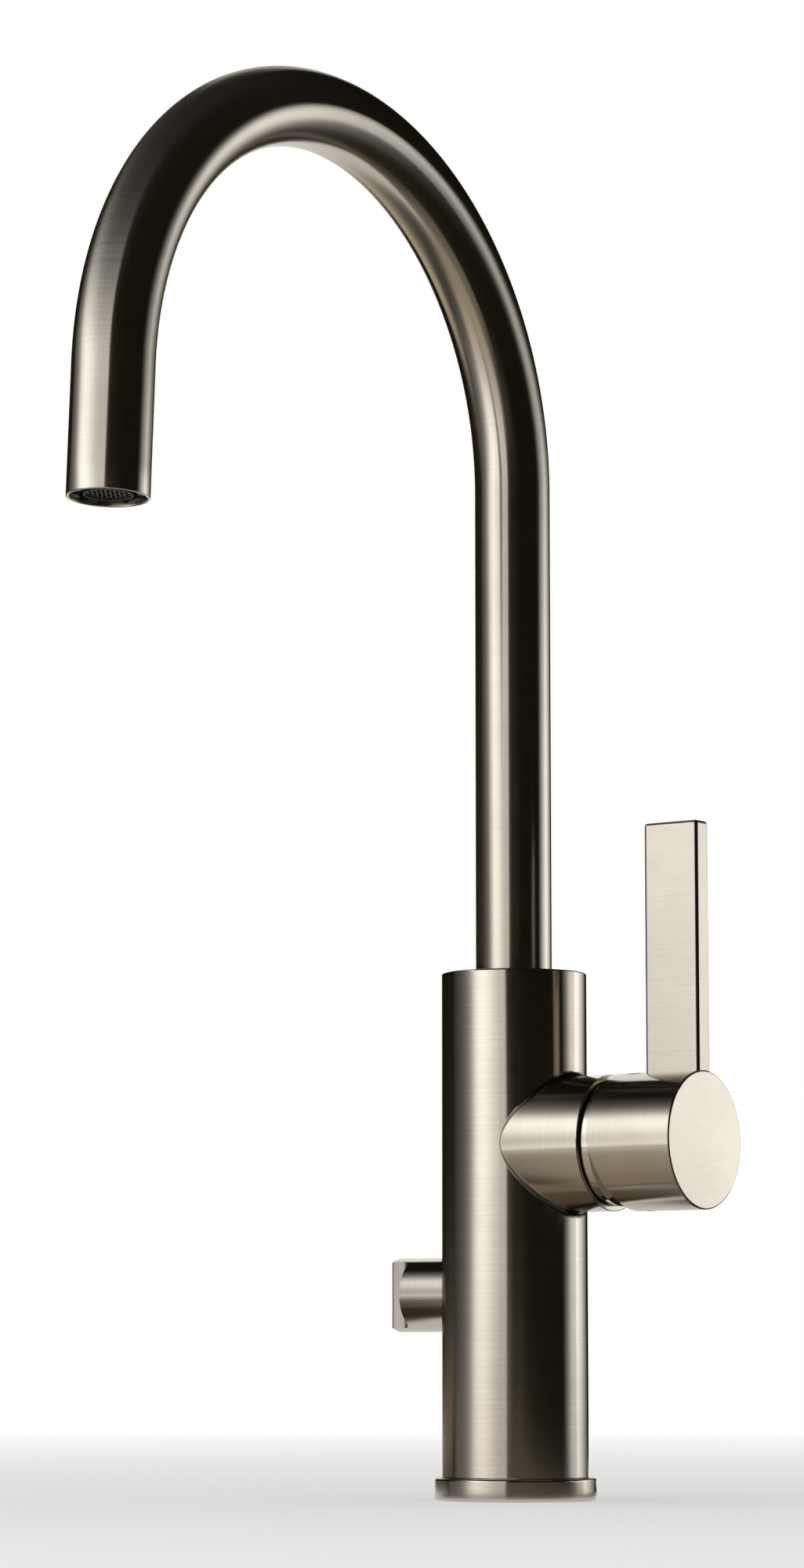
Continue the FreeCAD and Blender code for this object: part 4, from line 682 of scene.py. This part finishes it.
def screen_tree():
    """Weaves a round wire screen: two sets of wavy wires, one across the other."""
    tree, given = new_tree("aerator_screen", (
        ("Radius", "NodeSocketFloat"), ("Pitch", "NodeSocketFloat"), ("Wire", "NodeSocketFloat"),
        ("Wires", "NodeSocketInt"), ("Material", "NodeSocketMaterial")))
    radius, pitch, wire, count = (given[name] for name in ("Radius", "Pitch", "Wire", "Wires"))
    half = reckon(tree, "MULTIPLY", reckon(tree, "SUBTRACT", count, 1.0), 0.5)
    first = reckon(tree, "MULTIPLY", reckon(tree, "MULTIPLY", half, pitch), -1.0)
    rows = add(tree, "GeometryNodeMeshLine", {
        "Count": count, "Start Location": vector(tree, y=first), "Offset": vector(tree, y=pitch)}).outputs[0]
    rows = keep(tree, rows, "row", add(tree, "GeometryNodeInputIndex").outputs[0], "FLOAT")
    place = add(tree, "GeometryNodeInputPosition").outputs[0]
    forward, side, _ = parts(tree, place)
    reach = reckon(tree, "SUBTRACT", reckon(tree, "MULTIPLY", radius, radius),
                   reckon(tree, "MULTIPLY", side, side))
    reach = reckon(tree, "SQRT", reckon(tree, "MAXIMUM", reach, LEAST_REACH))
    strand = add(tree, "GeometryNodeCurvePrimitiveLine", {
        "Start": (-1.0, 0.0, 0.0), "End": (1.0, 0.0, 0.0)}).outputs[0]
    strand = add(tree, "GeometryNodeResampleCurve", {"Curve": strand, "Count": WIRE_POINTS}).outputs[0]
    wires = add(tree, "GeometryNodeInstanceOnPoints", {
        "Points": rows, "Instance": strand, "Scale": vector(tree, reach, 1.0, 1.0)}).outputs[0]
    wires = add(tree, "GeometryNodeRealizeInstances", {0: wires}).outputs[0]
    row = add(tree, "GeometryNodeInputNamedAttribute", {"Name": "row"}, data_type="FLOAT").outputs[0]
    phase = reckon(tree, "MULTIPLY", reckon(tree, "DIVIDE", forward, pitch), math.pi)
    phase = reckon(tree, "ADD", phase, reckon(tree, "MULTIPLY", row, math.pi))
    wave = reckon(tree, "MULTIPLY", reckon(tree, "SINE", phase), reckon(tree, "MULTIPLY", wire, WEAVE_DEPTH))
    wires = add(tree, "GeometryNodeSetPosition", {
        "Geometry": wires, "Offset": vector(tree, z=wave)}).outputs[0]
    section = add(tree, "GeometryNodeCurvePrimitiveCircle", {
        "Resolution": WIRE_SIDES, "Radius": reckon(tree, "MULTIPLY", wire, 0.5)}).outputs[0]
    warp = add(tree, "GeometryNodeCurveToMesh", {
        "Curve": wires, "Profile Curve": section, "Fill Caps": True}).outputs[0]
    weft = add(tree, "GeometryNodeTransform", {
        "Geometry": warp, "Rotation": Euler((math.pi, 0.0, math.pi / 2))}).outputs[0]
    both = add(tree, "GeometryNodeJoinGeometry")
    tree.links.new(warp, both.inputs[0])
    tree.links.new(weft, both.inputs[0])
    close_tree(tree, both.outputs[0], given["Material"])
    return tree


class TAP_OT_aerator(bpy.types.Operator):
    """Finish the aerator in the outlet and weave its wire screen"""

    bl_idname = "tap.aerator"
    bl_label = "Finish the aerator"

    def execute(self, context):
        finish = context.scene.tap_finish
        sizes = context.scene.tap_sizes
        plastic = moulded("aerator_plastic", finish.aerator, roughness=0.42, grain=1800.0, bump=0.12,
                          **DULL_SHINE)
        dress(plastic, "aerator_housing", "aerator_grid", "aerator_insert")
        wire = turned_metal("screen_wire", finish.steel, roughness=0.25, marks=EVEN_MARKS, bump=0.05)
        wires = 2 * int(sizes.screen_radius / sizes.screen_pitch - 0.5) + 1
        mesh = settle("aerator_screen", bpy.data.meshes.new("screen_start"), screen_tree(), {
            "Radius": sizes.screen_radius, "Pitch": sizes.screen_pitch, "Wire": sizes.screen_wire,
            "Wires": wires, "Material": wire})
        mesh.shade_smooth()
        sine, cosine = math.sin(sizes.arch_sweep), math.cos(sizes.arch_sweep)
        reach = sizes.outlet_length - sizes.screen_depth
        place = Matrix.Translation((0.0, sizes.arch_radius * (cosine - 1.0) - reach * sine,
                                    arch_foot(sizes) + sizes.arch_radius * sine + reach * cosine))
        mesh.transform(place @ Matrix.Rotation(sizes.arch_sweep, 4, "X"))
        new_piece("aerator_screen", mesh, wire, "spout")
        return {"FINISHED"}


class TAP_OT_inner_works(bpy.types.Operator):
    """Give the pieces inside the tap their brass, steel, rubber, plastic and ceramic"""

    bl_idname = "tap.inner_works"
    bl_label = "Finish the inner works"

    def execute(self, context):
        finish = context.scene.tap_finish
        brass = {"colour": finish.brass, "roughness": 0.28, "bump": 0.15}
        brass_up = turned_metal("turned_brass_upright", marks=RINGS_UPRIGHT, **brass)
        brass_side = turned_metal("turned_brass_sideways", marks=RINGS_ALONG_X, **brass)
        steel = turned_metal("stainless_steel", finish.steel, roughness=0.3, marks=EVEN_MARKS, bump=0.08)
        rubber = moulded("black_rubber", finish.rubber, roughness=0.55, grain=1400.0, bump=0.2)
        bearing = moulded("bearing_plastic", finish.bearing, roughness=0.4, grain=1100.0, bump=0.08)
        ceramic = moulded("lapped_ceramic", finish.ceramic, roughness=0.16, grain=2400.0, bump=0.03)
        dress(brass_up, "spout_tail")
        dress(brass_side, "cartridge_nut", "valve_headwork", "valve_spindle")
        dress(steel, "spout_lock_screw", "pivot_pin", "lever_stem", "lever_bar_screws", "handle_grub_screw",
              "knob_grub_screw", "valve_circlip")
        dress(rubber, "base_gasket", "base_o_ring", "spout_o_rings", "aerator_seal", "cartridge_seals",
              "valve_headwork_o_ring", "valve_seat_seal", "valve_spindle_o_ring")
        dress(bearing, "swivel_bushes", "swivel_washer", "cartridge_base", "cartridge_case",
              "cartridge_rotor", "disc_carrier")
        dress(ceramic, "fixed_ceramic_disc", "moving_ceramic_disc", "valve_fixed_disc", "valve_moving_disc")
        return {"FINISHED"}


# Stage

STAGE_CENTRE = Vector((0.0, -0.08, 0.2))
WHITE = (1.0, 1.0, 1.0, 1.0)
# Points across and up the mesh of a card
CARD_COLUMNS = 33
CARD_ROWS = 13
# Azimuths and elevations are in degrees, and azimuths count from the camera's side to the right
# Flags, cloths and sheets are painted reflections: only the metal sees them, and they neither light nor shade
# anything
FLAGS = (
    # name, first and last azimuth, first and last elevation, and distance
    ("front_flag", -15.0, 84.0, -8.0, 62.0, 1.62),
    ("right_flag", 84.0, 150.0, 10.0, 62.0, 1.64),
    ("right_back_flag", 150.0, 171.0, -8.0, 62.0, 1.62),
    ("left_back_flag", -168.5, -110.0, -8.0, 62.0, 1.62),
    ("top_flag", -180.0, 180.0, 49.0, 90.0, 1.66),
)
CLOTHS = (
    # name, then corners on the floor as distance to the camera's right and towards the camera
    ("right_cloth", ((0.06, 0.52), (1.55, 0.52), (1.55, -1.55), (0.255, -1.55))),
    ("front_cloth", ((-0.13, 0.52), (-0.13, 1.55), (1.55, 1.55), (1.55, 0.52))),
)
NEAR_CLOTH = (
    (-0.13, 0.52), (0.06, 0.52), (0.112, 0.0), (0.112, -0.05), (0.033, -0.05), (0.033, 0.0), (0.024, 0.024),
    (0.0, 0.033), (-0.024, 0.024), (-0.033, 0.0), (-0.065, 0.0), (-0.065, 0.05), (-0.13, 0.06))
LEFT_CLOTH = (
    (-0.13, 1.55), (-0.13, 0.06), (-0.065, 0.05), (-0.065, -0.12), (-0.33, -1.55), (-1.6, -1.55),
    (-1.6, 1.55))
CLOTH_LIFT = 0.001
SHEET_LIFT = 0.002
# Places across or up a soft box, from 0 to 1, each with the brightness there
LEFT_ACROSS = (
    (0.0, 0.02), (0.19, 0.066), (0.3, 0.12), (0.34, 0.18), (0.396, 0.27), (0.44, 0.45), (0.488, 0.71),
    (0.573, 0.95), (0.656, 0.95), (0.736, 0.84), (0.813, 0.69), (0.9, 0.5), (1.0, 0.46))
LEFT_UP = (
    (0.0, 0.76), (0.1, 0.79), (0.2, 0.83), (0.3, 0.9), (0.4, 1.0), (0.55, 1.0), (0.645, 0.82), (0.72, 0.5),
    (0.8, 0.22), (0.9, 0.07), (1.0, 0.03))
RIGHT_ACROSS = (
    (0.0, 0.03), (0.094, 0.12), (0.185, 0.34), (0.24, 0.5), (0.3, 0.58), (0.35, 0.62), (0.4, 0.74),
    (0.45, 0.98), (0.51, 0.98), (0.574, 0.84), (0.67, 0.64), (0.8, 0.35), (1.0, 0.07))
RIGHT_UP = ((0.0, 0.72), (0.4, 0.9), (0.7, 0.95), (1.0, 0.25))
# Places up a soft box, each with how far the grading across has leaned over there
LEFT_LEAN = (
    (0.0, 0.08), (0.08, 0.045), (0.13, 0.02), (0.2, 0.005), (0.3, 0.035), (0.45, 0.1), (0.64, 0.205),
    (1.0, 0.5))
RIGHT_LEAN = ((0.0, 0.0), (1.0, 0.0))
SOFT_BOXES = (
    # name, first and last azimuth, first and last elevation, distance, and the three gradings
    ("left_soft_box", -116.0, -12.5, -15.0, 55.0, 0.74, LEFT_ACROSS, LEFT_UP, LEFT_LEAN),
    ("right_soft_box", 84.0, 150.0, -7.0, 18.0, 1.6, RIGHT_ACROSS, RIGHT_UP, RIGHT_LEAN),
)
SHEETS = (
    # name, first and last azimuth, first and last distance from the tap's axis, and whether it is pale
    ("left_sheet", -70.0, -12.5, 0.04, 0.7, True),
    ("far_left_sheet", -116.0, -70.0, 0.12, 0.7, False),
    ("right_sheet", 84.0, 150.0, 0.04, 1.58, False),
)
# Two colours of each cloth and sheet, which only the metal mirrors, as painted reflections
DARK_FELT = (0.014, 0.012, 0.009, 1.0), (0.032, 0.027, 0.019, 1.0)
GREY_FELT = (0.24, 0.21, 0.16, 1.0), (0.34, 0.3, 0.24, 1.0)
WARM_GLOW_COLOURS = (0.035, 0.028, 0.02, 1.0), (0.5, 0.43, 0.34, 1.0)
DARK_ACRYLIC = (0.02, 0.016, 0.012, 1.0), (0.034, 0.028, 0.02, 1.0)
PALE_ACRYLIC = (0.48, 0.4, 0.3, 1.0), (0.63, 0.54, 0.42, 1.0)
# Distances from the tap over which the painted warm glow gets brighter and the floor's white glow fades in
WARM_GLOW_REACH = 0.2, 0.8
FLOOR_REACH = 0.05, 1.4
# Share of white glow in the floor at the tap, less than further out, which paints a darker pool round the
# tap; and the floor's inner rings
FLOOR_WHITE = 0.5
FLOOR_RINGS = 0.02, 0.3, 1.0
# Lamp above the tap, and strength of the room's light on matt surfaces
FILL_PLACE = (0.0, -0.1, 1.5)
FILL_SIZE = 1.0
ROOM_LIGHT = 0.35


def shown_white(tree):
    """1 for what the camera sees straight, in metal or through glass."""
    path = add(tree, "ShaderNodeLightPath").outputs
    seen = reckon(tree, "MAXIMUM", path["Is Camera Ray"], path["Is Glossy Ray"])
    return reckon(tree, "MAXIMUM", seen, path["Is Transmission Ray"])


def spread_mesh(name, spot):
    """A curved card through the points that spot gives for places across and up, with a map across it."""
    places = [[(column / (CARD_COLUMNS - 1), row / (CARD_ROWS - 1)) for column in range(CARD_COLUMNS)]
              for row in range(CARD_ROWS)]
    mesh = sheet_mesh(name, [[spot(*place) for place in row] for row in places], closed_round=False)
    spread = mesh.uv_layers.new(name="card")
    for loop in mesh.loops:
        row, column = divmod(loop.vertex_index, CARD_COLUMNS)
        spread.data[loop.index].uv = places[row][column]
    return mesh


def direction(start, end, across):
    """A level direction between two azimuths, counted from the camera's side to the right."""
    turn = math.atan2(-CAMERA_AIM.y, -CAMERA_AIM.x) + math.radians(start + (end - start) * across)
    return Vector((math.cos(turn), math.sin(turn), 0.0))


def card_mesh(name, start, end, low, high, distance):
    """A card that stands round the tap, with its faces inwards."""
    def spot(across, up):
        rise = math.radians(low + (high - low) * up)
        level = direction(start, end, across) * math.cos(rise)
        return STAGE_CENTRE + distance * (level + Vector((0.0, 0.0, math.sin(rise))))

    mesh = spread_mesh(name, spot)
    mesh.flip_normals()
    return mesh


def floor_sheet_mesh(name, start, end, near, far):
    """A sheet that lies on the floor before a soft box."""
    def spot(across, out):
        level = direction(start, end, across) * (near + (far - near) * out)
        return level + Vector((0.0, 0.0, SHEET_LIFT))

    return spread_mesh(name, spot)


def cloth_mesh(name, corners):
    """A flat cloth on the floor."""
    towards = Vector((-CAMERA_AIM.x, -CAMERA_AIM.y, 0.0)).normalized()
    right = Vector((-towards.y, towards.x, 0.0))
    mesh = bpy.data.meshes.new(name)
    points = [right * side + towards * near + Vector((0.0, 0.0, CLOTH_LIFT)) for side, near in corners]
    mesh.from_pydata(points, [], [tuple(range(len(corners)))])
    return mesh


def put_card(name, mesh, material):
    """Put a card in its place; the camera looks past it, the metal mirrors it."""
    mesh.materials.append(material)
    card = bpy.data.objects.new(name, mesh)
    bpy.context.scene.collection.objects.link(card)
    card.visible_camera = False
    return card


def put_painted_reflection(name, mesh, material):
    """Put a painted reflection: a card that only the metal mirrors, which takes no light from the rest and
    casts no shadow.
    """
    flag = put_card(name, mesh, material)
    flag.visible_diffuse = False
    flag.visible_shadow = False


def felt(name, deep, pale):
    """Felt of the flags and cloths, seen only in the metal as painted reflections."""
    material, tree, shader, spot = blank(name, Roughness=1.0, **NO_SHINE)
    nap = noise(tree, spot, scale=40.0, detail=3.0)
    tree.links.new(tint(tree, nap, deep, pale), shader.inputs["Base Color"])
    return material


def lit(name):
    """A material that only shines; returns it with its tree and the light's inputs."""
    material, tree = bare(name)
    light = add(tree, "ShaderNodeEmission")
    add(tree, "ShaderNodeOutputMaterial", {"Surface": light.outputs[0]})
    return material, tree, light.inputs


def graded(tree, value, places):
    """A level that runs through the given levels at the given places."""
    ramp = add(tree, "ShaderNodeValToRGB", {0: value})
    stops = ramp.color_ramp.elements
    while len(stops) < len(places):
        stops.new(0.5)
    for stop, (place, level) in zip(stops, places):
        stop.position = place
        stop.color = (level, level, level, 1.0)
    return ramp.outputs[0]


def glow(name, strength, across, up, lean):
    """Lit cloth of a soft box, graded across and up; the grading across leans over with the height."""
    material, tree, light = lit(name)
    side, height, _ = parts(tree, add(tree, "ShaderNodeTexCoord").outputs["UV"])
    leaning = reckon(tree, "ADD", side, graded(tree, height, lean))
    level = reckon(tree, "MULTIPLY", graded(tree, leaning, across), graded(tree, height, up))
    tree.links.new(reckon(tree, "MULTIPLY", level, strength), light["Strength"])
    return material


def acrylic(name, deep, pale):
    """Polished sheet, which mirrors a soft box at a low angle; only the metal sees it, as a painted
    reflection.
    """
    material, tree, shader, spot = blank(name, Roughness=0.1)
    tree.links.new(tint(tree, noise(tree, spot, scale=12.0), deep, pale), shader.inputs["Base Color"])
    return material


def painted_warm_glow():
    """Painted reflection: a tan cloth beside the tap that glows by itself, seen only in the metal, and more
    so further out.
    """
    material, tree, light = lit("painted_warm_glow")
    spot = add(tree, "ShaderNodeTexCoord").outputs["Object"]
    far = ranged(tree, length(tree, spot), 0.0, 1.0, *WARM_GLOW_REACH)
    tree.links.new(tint(tree, far, *WARM_GLOW_COLOURS), light["Color"])
    return material


def ground(stage):
    """Pale floor that keeps the real shadow near the tap, where less white glow paints a darker pool, and
    runs into white further out.
    """
    material, tree = bare("pale_floor")
    spot = add(tree, "ShaderNodeTexCoord").outputs["Object"]
    far = ranged(tree, length(tree, spot), FLOOR_WHITE, 1.0, *FLOOR_REACH)
    plain = add(tree, "ShaderNodeBsdfDiffuse", {"Color": tuple(stage.floor) + (1.0,)})
    white = add(tree, "ShaderNodeEmission", {"Color": WHITE, "Strength": 1.0})
    share = reckon(tree, "MULTIPLY", far, shown_white(tree))
    both = add(tree, "ShaderNodeMixShader", {0: share, 1: plain.outputs[0], 2: white.outputs[0]})
    add(tree, "ShaderNodeOutputMaterial", {"Surface": both.outputs[0]})
    return material


def lay_floor(stage):
    """Lay the floor, which is open under the tap."""
    mesh = sheet_mesh("floor", [ring(radius, 0.0) for radius in FLOOR_RINGS + (stage.floor_radius,)])
    floor = bpy.data.objects.new("floor", mesh)
    mesh.materials.append(ground(stage))
    bpy.context.scene.collection.objects.link(floor)


def put_cards(stage):
    """Put the soft boxes round the tap, and the flags, cloths and sheets that only the metal mirrors, as
    painted reflections.
    """
    dark = felt("dark_felt", *DARK_FELT)
    for name, *reach in FLAGS:
        put_painted_reflection(name, card_mesh(name, *reach), dark)
    for name, corners in CLOTHS:
        put_painted_reflection(name, cloth_mesh(name, corners), dark)
    put_painted_reflection("near_cloth", cloth_mesh("near_cloth", NEAR_CLOTH), felt("grey_felt", *GREY_FELT))
    # Painted reflection: a glowing tan cloth that only the metal sees
    put_painted_reflection("left_cloth", cloth_mesh("left_cloth", LEFT_CLOTH), painted_warm_glow())
    acrylics = acrylic("dark_acrylic", *DARK_ACRYLIC), acrylic("pale_acrylic", *PALE_ACRYLIC)
    for name, *reach, is_pale in SHEETS:
        put_painted_reflection(name, floor_sheet_mesh(name, *reach), acrylics[is_pale])
    for name, *reach, across, up, lean in SOFT_BOXES:
        put_card(name, card_mesh(name, *reach), glow(name, stage.box_strength, across, up, lean))


def hang_fill(stage):
    """Hang a lamp above the tap, which metal doesn't show."""
    lamp = bpy.data.lights.new("fill", "AREA")
    lamp.shape = "DISK"
    lamp.size = FILL_SIZE
    lamp.energy = stage.fill_power
    fill = bpy.data.objects.new("fill", lamp)
    fill.location = FILL_PLACE
    fill.visible_glossy = False
    fill.visible_camera = False
    bpy.context.scene.collection.objects.link(fill)


def light_room():
    """Surround the tap with white, which lights matt surfaces less than it shows."""
    world = bpy.data.worlds.new("white_room")
    world.use_nodes = True
    tree = world.node_tree
    tree.nodes.clear()
    strength = ranged(tree, shown_white(tree), ROOM_LIGHT, 1.0)
    sky = add(tree, "ShaderNodeBackground", {"Color": WHITE, "Strength": strength})
    add(tree, "ShaderNodeOutputWorld", {"Surface": sky.outputs[0]})
    bpy.context.scene.world = world


def place_camera():
    """Put the camera where the photograph was taken from."""
    lens = bpy.data.cameras.new("camera")
    lens.sensor_width = CAMERA_SENSOR
    lens.lens = CAMERA_LENS
    lens.clip_start, lens.clip_end = CAMERA_CLIP
    camera = bpy.data.objects.new("camera", lens)
    camera.location = CAMERA_PLACE
    camera.rotation_mode = "QUATERNION"
    camera.rotation_quaternion = CAMERA_AIM.to_track_quat("-Z", "Y")
    bpy.context.scene.collection.objects.link(camera)
    bpy.context.scene.camera = camera


class TAP_OT_stage(bpy.types.Operator):
    """Set up the floor, the light and the camera"""

    bl_idname = "tap.stage"
    bl_label = "Set the stage"

    def execute(self, context):
        stage = context.scene.tap_stage
        lay_floor(stage)
        put_cards(stage)
        hang_fill(stage)
        light_room()
        place_camera()
        context.scene.view_settings.view_transform = "Standard"
        return {"FINISHED"}


class TAP_PT_panel(bpy.types.Panel):
    """Lists the steps that dress the tap, with the sizes and finishes they use"""

    bl_idname = "TAP_PT_panel"
    bl_label = "Kitchen mixer tap"
    bl_space_type = "VIEW_3D"
    bl_region_type = "UI"
    bl_category = "Tap"

    def draw(self, context):
        for step in STEPS:
            self.layout.operator(step.bl_idname)
        for group in (context.scene.tap_sizes, context.scene.tap_finish, context.scene.tap_stage):
            column = self.layout.column()
            for name in group.__annotations__:
                column.prop(group, name)


STEPS = (TAP_OT_stage, TAP_OT_body, TAP_OT_swan_neck, TAP_OT_aerator, TAP_OT_trim, TAP_OT_inner_works)
CLASSES = (TapSizes, TapFinish, TapStage) + STEPS + (TAP_PT_panel,)


def register():
    for made in CLASSES:
        bpy.utils.register_class(made)
    bpy.types.Scene.tap_sizes = PointerProperty(type=TapSizes)
    bpy.types.Scene.tap_finish = PointerProperty(type=TapFinish)
    bpy.types.Scene.tap_stage = PointerProperty(type=TapStage)


def unregister():
    del bpy.types.Scene.tap_stage
    del bpy.types.Scene.tap_finish
    del bpy.types.Scene.tap_sizes
    for made in reversed(CLASSES):
        bpy.utils.unregister_class(made)


def main():
    register()
    bpy.ops.tap.stage()
    bpy.ops.tap.body()
    bpy.ops.tap.swan_neck()
    bpy.ops.tap.aerator()
    bpy.ops.tap.trim()
    bpy.ops.tap.inner_works()


if __name__ == "__main__":
    main()
